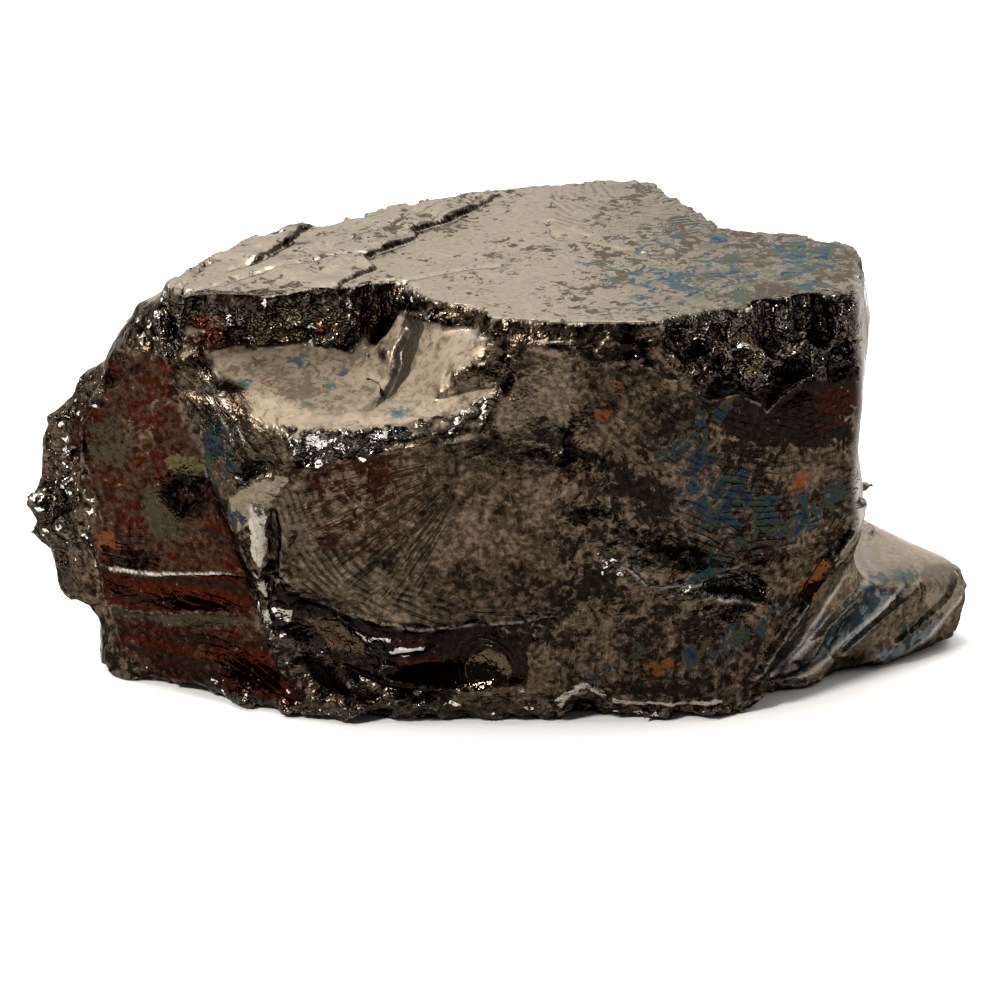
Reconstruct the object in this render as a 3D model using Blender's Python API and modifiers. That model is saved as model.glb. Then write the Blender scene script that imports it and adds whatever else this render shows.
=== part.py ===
"""Shungite stone: one natural block of glossy black carbon rock, cleaved and flaked all round.

The stone is one piece. Its rough masses are the convex hulls of their corners, fused together. Flake
scars and notches are cut out of them with large balls and wedges. The skin is then divided finely, and
the terraces, cracks, lumps and crumbled zones are worked into it point by point.
Tables are in millimetres: X to the right, Y to the back and Z up, with the floor at Z = 0.
"""
import math

import bmesh
import bpy
import numpy as np
from mathutils import Matrix, Vector, noise
from mathutils.bvhtree import BVHTree

NAME = "shungite_stone"
MM = 0.001
TOP_Z = 51.5            # the top cleavage plane, at its front edge
TOP_RISE = 0.075        # and how much it rises towards the back
TOP_FRONT_Y = -25.0
SINK = 0.8              # how far the masses reach below the floor before they are cut flat
SKIN_EDGE = 0.8         # side of the faces of the divided skin, while it is worked
CLEAN_EDGE = 0.6        # and afterwards, when folds and overlaps are remade as clean skin
FLAT_UNDER = 0.12       # what ends lower than this is part of the flat underside
MOST_TRIANGLES = 9300   # in the finished solid

SCAR_SHARE = 0.87       # a scar's radius over its ball's, at half the ball's height
LEAN = 0.6              # how far a scar leans to the side that it is seen from
FAR = 200.0             # how far outside the stone the search for its skin starts
SCAR_FINENESS, SCAR_WARP = 4, 0.45    # subdivisions and unevenness of the balls that cut the scars
LUMP_FINENESS, LUMP_WARP = 2, 0.3     # and of the lumps
WARP_PER_RADIUS = 1.6                 # how often a ball's skin rises and falls

SCARP = 0.5                     # half the width of the slope of a terrace's scarp
RAGGED_SIZE, RAGGED = 2.4, 0.9  # size and depth of the bays along a scarp
FACING, FACING_FADE = 0.35, 0.3     # how squarely a point faces the side that a terrace is seen from
ZONE_FADE = 0.4                 # share of a crumbled zone over which it fades in
SIDEWAYS = 0.35                 # how far crumbs move sideways, as a share of how far they stand out
SWELL_SIZE, SWELL = 9.0, 0.7    # slow unevenness of every broken face
TOP_FACING, TOP_FADE = 0.84, 0.1    # what faces up more squarely than this is the smooth top
NOISE_PLACE = (7.3, 3.1, 1.7)   # moves each use of the noise to a place of its own
NOISE_SHIFTS = np.array([(0.0, 0.0, 0.0), (31.4, 11.7, 5.2), (-17.9, 23.3, 41.6)])
CRUMB_SEED, SWELL_SEED = 20, 50

COLOUR = (0.06, 0.05, 0.042, 1.0)
METALLIC = 0.6
ROUGHNESS = 0.28

FRONT, BACK, LEFT, RIGHT, ABOVE = (0, -1, 0), (0, 1, 0), (-1, 0, 0), (1, 0, 0), (0, 0, 1)


def top(x, y, lift=0.0):
    """A corner on the top cleavage plane, or so many millimetres above it."""
    return (x, y, TOP_Z + TOP_RISE * (y - TOP_FRONT_Y) + lift)


# Each mass is the convex hull of its corners.
MASSES = {
    "right_block": [
        (3.0, -29.6, 48.4), (12.0, -30.2, 49.2), (18.0, -29.4, 50.0), top(31, -22.8), top(42.8, -19),
        top(44.8, -7), top(44, -2.5), top(37, 1.3), top(28, 3), top(-8, -21.5), top(-2, -27.5, -0.6),
        (45.6, -10.0, 45.0), (45.0, -13.0, 40.0), (44.4, -17.6, 24.0), (44.0, -16.5, 16.0),
        (33.0, -24.0, 13.0), (-2.0, -31.2, 30.0), (4.0, -31.6, 22.0), (24.0, -27.6, 14.0),
        (-6.0, -30.6, 15.0), (44.4, -6.0, 21.0), (40.0, 4.0, 0.0), (42.0, 3.0, 30.0), (-8.0, -10.0, 10.0),
    ],
    "centre_block": [
        top(-12, -16, -0.1), top(-8, -21.5, -0.1), (-12.0, -19.0, 44.0), (-12.0, 4.0, 30.0), top(20, 4, -0.1),
        top(8, -25, -0.1), (8.0, -20.0, 20.0), (-14.0, 6.0, 48.0), top(-14, 2, -0.1),
    ],
    "back_mass": [
        top(28, 3, -0.05), top(23, 14.6, -0.05), top(20, 20.6, -0.05), top(17, 22.2, -0.05),
        top(11.6, 17.8, -0.05), top(1.3, 17.6, -0.05), top(-2.6, 16.8, -0.05), top(-12, 8.6, -0.05),
        top(-30, -2.6, -1), (21.0, 25.0, 36.0), (6.0, 28.0, 28.0), (-14.0, 25.0, 32.0), (-33.0, 13.0, 34.0),
        (-40.0, 6.0, 20.0), (30.0, 15.0, 24.0), (24.0, 19.0, -SINK), (2.0, 22.0, -SINK),
        (-26.0, 15.0, -SINK), (-36.0, 3.0, -SINK), (34.0, 3.0, -SINK), (30.0, -10.0, 0.0),
        (-30.0, -12.0, 0.0), (-20.0, -14.0, 44.0),
    ],
    "top_slab": [
        top(-37.8, -22.6, 0.1), top(-29.7, -22.4, 0.1), top(-19.6, -18.8, 0.1), top(-12.0, -14.0, 0.05),
        top(-4.0, 9, 0.05), top(-2.8, 17.4, 0.05), top(-7.7, 13.9, 0.1), top(-12.9, 10.0, 0.1),
        top(-19.2, 5.6, 0.1), top(-25.2, 2.8, 0.1), top(-30, -0.6, 0.1), top(-33.4, -4.0, 0.1),
        top(-36.9, -9.8, 0.1), top(-38.9, -17.6, 0.1), (-39.6, -16.0, 47.0), (-36.0, -15.0, 41.0),
        (-16.0, -14.5, 43.0), (-8.0, 10.0, 42.0), (-34.0, 1.0, 42.0),
    ],
    "shelf_block": [
        (-24.8, -30.4, 38.8), (-17.7, -30.6, 39.3), (-11.8, -30.6, 40.2), (-38.9, -22.6, 41.8),
        (-36.0, -17.0, 42.6), (-24.0, -14.0, 43.0), (-16.0, -15.0, 43.4), (-39.8, -23.4, 40.0),
        (-37.2, -25.0, 35.3), (-34.2, -26.0, 30.6), (-31.2, -28.0, 25.0), (-29.9, -30.0, 28.9),
        (-24.5, -31.0, 34.7), (-29.8, -28.4, 18.0), (-12.0, -31.6, 30.0), (-14.0, -32.0, 22.0),
        (-27.0, -30.0, 20.0), (-18.0, -31.2, 15.5), (-28.0, -12.0, 16.0), (-12.0, -12.0, 16.0),
        (-30.0, -12.0, 36.0),
    ],
    "ramp_block": [
        (-16.0, -30.6, 39.4), (-11.8, -30.7, 40.2), (-5.9, -30.4, 41.2), (0.0, -29.8, 42.6),
        (2.4, -28.8, 47.6), (-1.6, -28.0, 49.6), (-8.3, -21.0, 50.6), (-13.0, -17.4, 48.6),
        (-18.8, -15.4, 44.4), (-4.0, -31.9, 30.0), (-12.0, -32.2, 22.0), (4.0, -30.6, 18.0),
        (-14.0, -31.2, 15.5), (0.0, -12.0, 16.0), (-14.0, -12.0, 16.0), (-16.0, -26.0, 42.0),
    ],
    "lower_front": [
        (-28.6, -26.6, 17.0), (-27.6, -28.0, 10.8), (-26.0, -26.4, 2.0), (-20.7, -29.4, 0.2),
        (-12.2, -28.8, 0.2), (0.0, -27.6, 0.6), (17.0, -28.0, 0.6), (25.9, -27.7, 0.6), (28.0, -27.4, 13.0),
        (33.0, -24.6, 13.4), (32.6, -23.6, 1.0), (8.0, -30.2, 15.5), (-10.0, -30.6, 12.0),
        (38.0, -19.4, 1.0), (40.0, -16.0, -SINK), (26.0, -25.0, -SINK), (-20.0, -25.6, -SINK),
        (0.0, -25.0, -SINK), (-30.0, -8.0, 0.0), (30.0, -6.0, 0.0), (0.0, -8.0, 20.0),
    ],
    "skirt": [
        (30.0, -25.6, 12.6), (33.0, -24.4, 13.6), (41.0, -16.6, 15.0), (44.4, -15.6, 16.0),
        (46.6, -10.4, 11.6),
        (49.0, -10.8, 3.0), (44.1, -12.8, 0.4), (36.7, -18.6, 0.4), (31.0, -23.6, 0.4), (34.0, -22.6, 5.0),
        (28.0, -10.0, 0.0), (40.0, -4.0, -SINK), (36.0, -16.0, -SINK), (40.0, -4.0, 16.0),
        (28.0, -14.0, 12.0),
    ],
    "left_flank": [
        (-44.2, -10.0, 48.0), (-45.1, -12.0, 45.0), (-48.7, -9.0, 41.0), (-49.5, -13.0, 38.9),
        (-39.2, -17.5, 51.0), (-37.5, -20.0, 47.0), (-53.0, -11.0, 30.5), (-50.6, -14.4, 18.0),
        (-49.6, -15.8, 10.6), (-46.6, -14.8, 1.5), (-37.2, -19.9, 0.4), (-29.5, -25.4, 0.4),
        (-22.0, -29.0, 0.2), (-28.0, -26.4, 15.0), (-30.0, -23.9, 30.0), (-36.0, -2.0, 50.0),
        (-44.0, 2.0, 38.0), (-42.0, 6.0, 10.0), (-30.0, 8.0, -SINK), (-43.0, -8.0, -SINK),
        (-30.0, -22.0, -SINK), (-22.0, -14.0, 0.0), (-26.0, -14.0, 40.0),
    ],
    "end_lobes": [
        (-57.1, -4.0, 33.4), (-56.6, -5.0, 31.7), (-58.7, -4.0, 26.1), (-58.7, -5.0, 24.0),
        (-57.0, -7.0, 18.5), (-54.0, -9.0, 17.0), (-48.5, -10.0, 40.5), (-45.0, 5.0, 38.0),
        (-53.0, 4.0, 31.0), (-53.0, 4.0, 19.0), (-44.0, -8.0, 14.0), (-42.0, 8.0, 16.0),
    ],
    "end_plate": [
        (-56.0, -7.0, 15.0), (-56.2, -7.0, 10.0), (-55.2, -8.0, 8.0), (-52.0, -9.4, 6.6), (-49.0, -10.6, 6.4),
        (-50.0, -12.0, 17.0), (-52.0, 3.0, 17.0), (-52.0, 2.0, 8.0), (-44.0, 6.0, 8.0), (-44.0, -4.0, 6.0),
        (-44.0, -4.0, 18.0),
    ],
    "left_heel": [
        (-51.4, -7.8, 3.0), (-50.6, -9.5, 0.2), (-49.2, -13.8, -0.4), (-46.8, -15.8, -0.4),
        (-50.8, -9.0, 7.0), (-46.0, -14.4, 8.0), (-40.0, -5.0, -SINK), (-44.0, 0.0, 8.0),
        (-38.0, -14.0, -SINK), (-45.0, 3.0, 2.0),
    ],
    "right_foot": [
        (59.4, -0.4, 10.8), (57.3, -3.1, 10.2), (48.5, -4.6, 11.0), (47.4, 5.0, 15.0), (60.2, -1.6, 9.0),
        (60.4, -2.4, 6.0), (58.6, -3.6, 1.0), (53.4, -7.6, 0.2), (49.0, -10.6, 0.2), (44.4, -16.0, 12.0),
        (57.0, 5.0, -SINK), (51.0, 11.0, -SINK), (50.0, 11.0, 9.0), (36.0, 12.0, -SINK), (34.0, 10.0, 20.0),
        (30.0, -10.0, 0.0), (30.0, -14.0, 14.0), (40.0, -16.4, 0.2), (52.0, -5.0, -SINK),
    ],
}

# Lumps fused to the skin: centre and radii.
LUMPS = {
    "end_knob": ((-57.6, -6.0, 20.4), (2.2, 2.4, 1.3)),
    "end_knob_low": ((-56.6, -6.4, 16.8), (2.6, 2.6, 1.9)),
    "end_knob_right": ((-52.6, -10.0, 18.6), (3.4, 2.8, 1.9)),
    "end_knob_high": ((-51.6, -10.4, 21.6), (2.2, 2.0, 1.0)),
    "edge_nub": ((46.0, -4.0, 22.4), (1.8, 1.4, 0.9)),
    "rim_bead": ((0.4, -30.0, 41.4), (1.0, 1.4, 0.9)),
}

# Wedges cut right out: the convex hull of their corners.
NOTCHES = {
    "front_hollow": [
        (23.2, -32.0, 17.6), (29.6, -31.0, 19.0), (33.4, -29.0, 15.2), (24.0, -32.0, 15.8),
        (32.6, -29.0, 14.4),
        (28.0, -21.0, 16.6), (31.4, -20.4, 14.8),
    ],
    "side_hollow": [
        (35.0, -26.0, 13.0), (41.4, -22.0, 21.4), (41.2, -22.0, 12.6), (38.6, -15.0, 15.0),
    ],
    "under_ledge": [
        (-31.6, -34.0, 34.4), (-27.0, -34.0, 34.8), (-30.6, -34.0, 30.4), (-31.8, -33.0, 30.6),
        (-29.6, -25.4, 33.2),
    ],
    "flank_slot": [
        (-29.6, -33.0, 21.0), (-27.8, -33.0, 19.0), (-26.6, -33.0, 12.6), (-28.6, -33.0, 13.4),
        (-28.0, -25.4, 19.0), (-27.4, -25.2, 14.0),
    ],
}

# Flake scars: the side they are seen from, the two other coordinates there, then the radius, the depth,
# the stretch and the turn of the scar's long axis in degrees.
SCARS = [
    (FRONT, (-19.6, 9.6), 5.6, 3.4, 1.7, -14),
    (FRONT, (-6.6, 8.8), 4.0, 2.8, 1.9, 4),
    (FRONT, (-1.6, 8.6), 4.4, 1.6, 1.0, 0),
    (FRONT, (-25.2, 5.8), 3.0, 1.2, 1.8, -50),
    (FRONT, (11.0, 0.6), 3.0, 2.6, 1.3, 0),
    (FRONT, (-3.5, 0.0), 2.2, 1.6, 1.5, 0),
    (FRONT, (21.5, 0.0), 1.8, 1.6, 1.2, 0),
    (FRONT, (-14.5, 0.2), 1.6, 1.4, 1.6, 0),
    (FRONT, (24.4, 49.0), 3.0, 1.5, 1.5, 20),
    (FRONT, (33.6, 49.6), 3.2, 2.2, 1.4, 15),
    (FRONT, (29.0, 45.2), 3.4, 1.6, 1.5, -10),
    (FRONT, (38.8, 48.4), 3.4, 2.4, 1.3, 30),
    (FRONT, (35.6, 43.6), 3.0, 1.6, 1.5, 60),
    (FRONT, (20.2, 46.2), 2.8, 0.9, 1.7, 10),
    (FRONT, (41.4, 43.6), 2.6, 1.4, 1.4, 80),
    (FRONT, (15.0, 48.0), 2.4, 0.8, 1.8, 0),
    (FRONT, (10.2, 29.6), 2.6, 0.9, 1.3, 70),
    (FRONT, (38.0, 5.0), 5.0, 1.6, 1.6, 35),
    (FRONT, (47.0, 5.2), 4.4, 1.2, 1.8, 20),
    (FRONT, (53.6, 7.4), 2.8, 0.7, 1.2, 0),
    (FRONT, (43.0, 12.6), 2.6, 0.8, 1.4, 70),
    (FRONT, (-42.0, 46.0), 3.0, 1.6, 1.4, 60),
    (FRONT, (-46.6, 40.6), 2.6, 1.1, 1.6, 40),
    (FRONT, (-53.6, 35.0), 3.4, 1.4, 1.6, 25),
    (FRONT, (-54.6, 27.0), 4.0, 1.4, 1.6, 80),
    (FRONT, (-47.4, 24.0), 6.0, 1.2, 1.8, 80),
    (FRONT, (-40.6, 34.0), 7.6, 1.6, 1.3, 80),
    (FRONT, (-40.0, 13.0), 6.6, 1.0, 1.9, -4),
    (FRONT, (-45.6, 6.0), 3.4, 1.2, 1.4, 60),
    (FRONT, (-33.6, 7.4), 5.0, 1.0, 1.5, -30),
    (FRONT, (-33.6, 47.4), 4.6, 1.8, 2.0, 4),
    (FRONT, (-22.6, 48.2), 3.8, 2.4, 1.7, 0),
    (FRONT, (-15.6, 49.6), 2.6, 1.0, 1.4, 30),
    (ABOVE, (-9.2, -25.4), 3.2, 2.2, 2.1, 42),
    (ABOVE, (-20.0, -24.8), 4.0, 0.7, 1.9, 10),
    (ABOVE, (-30.0, -22.0), 3.8, 0.6, 1.8, 10),
    (ABOVE, (25.4, 3.0), 2.0, 0.5, 2.0, 60),
    (ABOVE, (52.0, 0.0), 5.0, 0.5, 1.5, 0),
    (RIGHT, (-12.0, 34.0), 6.0, 0.7, 2.2, 90),
    (RIGHT, (0.0, 38.0), 7.0, 1.6, 1.3, 0),
    (RIGHT, (8.0, 24.0), 6.6, 2.0, 1.3, 40),
    (BACK, (-6.0, 38.0), 13.0, 3.4, 1.3, 10),
    (BACK, (18.0, 34.0), 9.0, 2.6, 1.2, -40),
    (BACK, (8.0, 12.0), 10.0, 2.4, 1.6, 0),
    (BACK, (-24.0, 26.0), 9.0, 2.2, 1.3, 60),
    (BACK, (-28.0, 46.0), 8.0, 2.2, 1.6, 0),
    (BACK, (-44.0, 26.0), 7.0, 1.8, 1.4, 90),
    (BACK, (30.0, 12.0), 8.0, 2.0, 1.2, 20),
    (BACK, (38.0, 38.0), 8.0, 1.8, 1.5, 80),
    (BACK, (46.0, 8.0), 5.0, 1.2, 1.5, 0),
    (BACK, (-12.0, 6.0), 6.0, 1.6, 1.6, 0),
    (LEFT, (2.0, 34.0), 6.0, 1.2, 1.4, 0),
    (LEFT, (2.0, 12.0), 5.0, 1.4, 1.4, 30),
]


def new_object(name, shape, collection):
    """Makes an object of a bmesh and frees the bmesh."""
    mesh = bpy.data.meshes.new(name)
    bmesh.ops.recalc_face_normals(shape, faces=shape.faces)
    shape.to_mesh(mesh)
    shape.free()
    obj = bpy.data.objects.new(name, mesh)
    collection.objects.link(obj)
    return obj


def hull(name, corners, collection):
    """The convex hull of the corners."""
    shape = bmesh.new()
    for corner in corners:
        shape.verts.new(Vector(corner) * MM)
    made = bmesh.ops.convex_hull(shape, input=shape.verts)
    spare = {v for v in made["geom_interior"] + made["geom_unused"] if isinstance(v, bmesh.types.BMVert)}
    bmesh.ops.delete(shape, geom=list(spare), context="VERTS")
    return new_object(name, shape, collection)


def ball(name, matrix, fineness, warp, collection):
    """A unit ball of triangles with uneven skin, placed, stretched and turned by the matrix, in metres."""
    shape = bmesh.new()
    bmesh.ops.create_icosphere(shape, subdivisions=fineness, radius=1.0)
    offset = Vector((len(name), sum(map(ord, name)), 0.5))
    for vert in shape.verts:
        vert.co *= 1.0 + warp * noise.noise(vert.co * WARP_PER_RADIUS + offset)
    bmesh.ops.transform(shape, matrix=matrix, verts=shape.verts)
    return new_object(name, shape, collection)


def apply_modifiers(stone):
    graph = bpy.context.evaluated_depsgraph_get()
    made = bpy.data.meshes.new_from_object(stone.evaluated_get(graph))
    stone.modifiers.clear()
    stone.data = made


def combine(stone, other, operation):
    """Fuses the other object with the stone, or cuts it away, for good."""
    modifier = stone.modifiers.new(other.name, "BOOLEAN")
    modifier.operation = operation
    modifier.solver = "EXACT"
    modifier.object = other
    apply_modifiers(stone)


def surface(stone):
    graph = bpy.context.evaluated_depsgraph_get()
    return BVHTree.FromObject(stone, graph)


def seen_from(side, place):
    """A start far outside the stone on that side, over the place, and the way inwards."""
    outward = Vector(side)
    far = outward * FAR
    if side[0]:
        far.y, far.z = place
    elif side[1]:
        far.x, far.z = place
    else:
        far.x, far.y = place
    return far * MM, -outward


def scar(stone, name, side, place, radius, depth, stretch, turn, collection):
    """Cuts one flake scar: a flattened, uneven ball, sunk in the skin by a quarter of its height."""
    start, inward = seen_from(side, place)
    point, normal, _, _ = surface(stone).ray_cast(start, inward)
    outward = (normal - inward * LEAN).normalized()
    centre = point + outward * depth * MM
    facing_out = outward.to_track_quat("Z", "Y").to_matrix().to_4x4()
    turned = facing_out @ Matrix.Rotation(math.radians(turn), 4, "Z")
    radii = (radius * stretch / SCAR_SHARE, radius / SCAR_SHARE, depth * 2)
    sizes = Matrix.Diagonal([r * MM for r in radii] + [1.0])
    place = Matrix.Translation(centre) @ turned @ sizes
    combine(stone, ball(name, place, SCAR_FINENESS, SCAR_WARP, collection), "DIFFERENCE")


def divide(stone, size):
    """Gives the stone an even skin of small faces, so that it can be worked."""
    modifier = stone.modifiers.new("divide", "REMESH")
    modifier.mode = "VOXEL"
    modifier.voxel_size = size * MM
    apply_modifiers(stone)


# Terraces: the side they are seen from, the line of the scarp, the height of the ground on its left
# as one goes along it, and how far back that ground falls to the level of the rest.
TERRACES = [
    (ABOVE, [(-21.0, -21.0), (-18.6, -15.9), (-15.5, -11.6), (-16.5, -7.4), (-13.6, -4.0), (-10.5, -1.1),
             (-10.7, 1.7), (-8.5, 3.9), (-6.3, 6.0), (-3.2, 9.7), (-1.3, 12.3), (2.4, 19.0)], 1.1, 22.0),
    (ABOVE, [(-30.5, -10.6), (-27.1, -4.7), (-24.8, -0.4), (-22.5, 4.2), (-18.6, 10.0)], 1.0, 16.0),
    (ABOVE, [(30.0, 4.0), (26.3, -0.4), (23.4, -3.3), (18.4, -5.4), (12.4, -2.2), (9.0, 4.0)], -1.0, 30.0),
    (FRONT, [(8.6, 38.0), (6.6, 36.0), (2.4, 36.3), (-2.4, 38.1), (-8.0, 39.0)], 0.9, 18.0),
    (FRONT, [(7.1, 37.4), (10.1, 35.5), (13.1, 32.3), (13.3, 28.5), (14.3, 26.0), (19.8, 22.5)], -0.6, 9.0),
    (FRONT, [(11.7, 23.9), (14.4, 21.6), (18.3, 18.4), (22.8, 18.4), (26.0, 18.2)], 0.9, 8.0),
]

# Crumbled zones: centre and radii, then the size of the crumbs and how far they stand out.
CRUMBLED = [
    ((-10.0, -31.0, 38.6), (18.0, 4.0, 3.4), 2.2, 1.1),
    ((-24.0, -20.0, 48.0), (15.0, 5.0, 5.0), 3.2, 1.2),
    ((-42.0, -14.0, 47.0), (6.0, 8.0, 6.0), 2.8, 1.4),
    ((-56.0, -5.0, 20.0), (7.0, 9.0, 9.0), 3.0, 1.4),
    ((-52.0, -8.0, 38.0), (8.0, 8.0, 4.0), 2.6, 1.0),
    ((0.0, -24.0, 0.0), (66.0, 30.0, 3.6), 3.4, 1.5),
    ((31.0, -24.0, 47.0), (16.0, 9.0, 7.0), 2.8, 1.0),
    ((12.0, -31.0, 49.4), (9.0, 3.0, 1.6), 2.0, 0.7),
    ((-28.6, -29.0, 16.0), (3.6, 5.0, 13.0), 2.4, 1.1),
    ((20.0, -27.0, 18.6), (7.0, 3.0, 3.0), 2.2, 0.8),
    ((25.0, 3.0, 54.0), (5.0, 6.0, 3.0), 2.4, 1.0),
    ((0.0, 24.0, 20.0), (60.0, 12.0, 50.0), 6.0, 0.9),
]


def over_side(points, side):
    """The two coordinates of each point as seen from that side."""
    if side[0]:
        return points[:, [1, 2]]
    return points[:, [0, 2]] if side[1] else points[:, [0, 1]]


def beside_line(places, line):
    """Each place's distance from the line, above zero on its left."""
    best = np.full(len(places), np.inf)
    signed = np.zeros(len(places))
    for start, end in zip(line[:-1], line[1:]):
        start, along = np.array(start), np.subtract(end, start)
        share = np.clip((places - start) @ along / (along @ along), 0.0, 1.0)
        away = places - (start + share[:, None] * along)
        distance = np.hypot(away[:, 0], away[:, 1])
        left = along[0] * away[:, 1] - along[1] * away[:, 0]
        nearer = distance < best
        best[nearer] = distance[nearer]
        signed[nearer] = np.copysign(distance, left)[nearer]
    return signed


def wavering(points, size, seed):
    """Smooth noise from about -1 to 1, three numbers a point."""
    places = points / size + np.array(NOISE_PLACE) * seed
    return np.array([[noise.noise(Vector(place + shift)) for shift in NOISE_SHIFTS] for place in places])


def points_of(stone):
    """The points, in millimetres."""
    points = np.empty(len(stone.data.vertices) * 3, np.float32)
    stone.data.vertices.foreach_get("co", points)
    return points.reshape(-1, 3).astype(float) / MM


def skin_of(stone):
    """The points and the normals of a skin of four-sided faces."""
    points = points_of(stone)
    corners = np.empty(len(stone.data.loops), np.int32)
    stone.data.loops.foreach_get("vertex_index", corners)
    faces = corners.reshape(-1, 4)
    across = np.cross(points[faces[:, 2]] - points[faces[:, 0]], points[faces[:, 3]] - points[faces[:, 1]])
    normals = np.zeros_like(points)
    for corner in range(4):
        np.add.at(normals, faces[:, corner], across)
    return points, normals / np.linalg.norm(normals, axis=1)[:, None]


def put_back(stone, points):
    stone.data.vertices.foreach_set("co", (points * MM).astype(np.float32).ravel())
    stone.data.update()


def cut_terraces(stone):
    """Raises the ground on one side of each ragged scarp."""
    for number, (side, line, height, fade) in enumerate(TERRACES):
        points, normals = skin_of(stone)
        ragged = points + wavering(points, RAGGED_SIZE, number) * RAGGED
        away = beside_line(over_side(ragged, side), line)
        up = np.clip((away + SCARP) / (2 * SCARP), 0.0, 1.0)
        back = np.clip(1.0 - away / fade, 0.0, 1.0)
        faces = np.clip((normals @ np.array(side) - FACING) / FACING_FADE, 0.0, 1.0)
        points += (height * up * back * faces)[:, None] * np.array(side, float)
        put_back(stone, points)


def crumble(stone):
    """Breaks the skin up in the crumbled zones."""
    for number, (centre, radii, size, amount) in enumerate(CRUMBLED):
        points, normals = skin_of(stone)
        reach = np.linalg.norm((points - centre) / radii, axis=1)
        inside = np.clip((1.0 - reach) / ZONE_FADE, 0.0, 1.0)
        crumbs = wavering(points, size, number + CRUMB_SEED) * amount
        points += inside[:, None] * (normals * crumbs[:, :1] + crumbs * SIDEWAYS)
        put_back(stone, points)


def swell(stone):
    """Makes the broken faces slightly uneven, but not the top cleavage plane."""
    points, normals = skin_of(stone)
    broken = np.clip((TOP_FACING + TOP_FADE - normals[:, 2]) / TOP_FADE, 0.0, 1.0)
    points += normals * (wavering(points, SWELL_SIZE, SWELL_SEED)[:, :1] * SWELL * broken[:, None])
    put_back(stone, points)


def thin_out(stone):
    """Merges faces, most of them where the skin is flat, down to the number allowed."""
    stone.modifiers.new("triangles", "TRIANGULATE")
    thinned = stone.modifiers.new("thin_out", "DECIMATE")
    corners = len(stone.data.loops)
    thinned.ratio = MOST_TRIANGLES / (corners - 2 * len(stone.data.polygons))
    apply_modifiers(stone)


def stand_flat(stone):
    """Presses what reaches below the floor flat against it, which leaves one flat facet to rest on."""
    points = points_of(stone)
    points[:, 2] = np.where(points[:, 2] < FLAT_UNDER, 0.0, points[:, 2])
    put_back(stone, points)


def stand_over_origin(stone):
    """Puts the middle of the stone's box over the origin."""
    points = points_of(stone)
    middle = (points.min(axis=0) + points.max(axis=0)) / 2
    middle[2] = points[:, 2].min()
    put_back(stone, points - middle)
    print("moved by", -middle, "size", points.max(axis=0) - points.min(axis=0))


def finish(stone):
    """Glossy, nearly black carbon with a half-metallic lustre."""
    material = bpy.data.materials.new("shungite")
    material.use_nodes = True
    shader = material.node_tree.nodes["Principled BSDF"]
    shader.inputs["Base Color"].default_value = COLOUR
    shader.inputs["Metallic"].default_value = METALLIC
    shader.inputs["Roughness"].default_value = ROUGHNESS
    stone.data.materials.clear()
    stone.data.materials.append(material)


def clear_scene():
    for obj in list(bpy.data.objects):
        bpy.data.objects.remove(obj)


def main():
    clear_scene()
    scene = bpy.context.scene.collection
    stones = bpy.data.collections.new("Shungite stone")
    cutters = bpy.data.collections.new("Cutters")
    scene.children.link(stones)
    scene.children.link(cutters)
    cutters.hide_render = True

    masses = [hull(name, corners, cutters) for name, corners in MASSES.items()]
    stone = bpy.data.objects.new(NAME, masses[0].data.copy())
    stones.objects.link(stone)
    for mass in masses[1:]:
        combine(stone, mass, "UNION")
    for name, (centre, radii) in LUMPS.items():
        place = Matrix.Translation(Vector(centre) * MM) @ Matrix.Diagonal([r * MM for r in radii] + [1.0])
        combine(stone, ball(name, place, LUMP_FINENESS, LUMP_WARP, cutters), "UNION")
    for index, row in enumerate(SCARS):
        scar(stone, f"scar_{index + 1:02d}", *row, cutters)
    for name, corners in NOTCHES.items():
        combine(stone, hull(name, corners, cutters), "DIFFERENCE")
    divide(stone, SKIN_EDGE)
    print("skin", len(stone.data.polygons))
    swell(stone)
    cut_terraces(stone)
    crumble(stone)
    stand_flat(stone)
    divide(stone, CLEAN_EDGE)
    thin_out(stone)
    stand_flat(stone)
    stand_over_origin(stone)
    finish(stone)
    for cutter in cutters.objects:
        cutter.hide_render = True
        cutter.display_type = "WIRE"
    return stone


main()
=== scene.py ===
# %% [markdown]
# # A raw block of shungite
# Shungite is almost pure carbon. It breaks like glass, with curved ripples and sharp edges, and its fresh
# faces shine like dull metal. The packed model already has the block's masses and ledges. This lesson
# gives it a finer skin, works the small relief into that skin, and paints it with one node material.

# %% Load the packed model
import math

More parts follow.
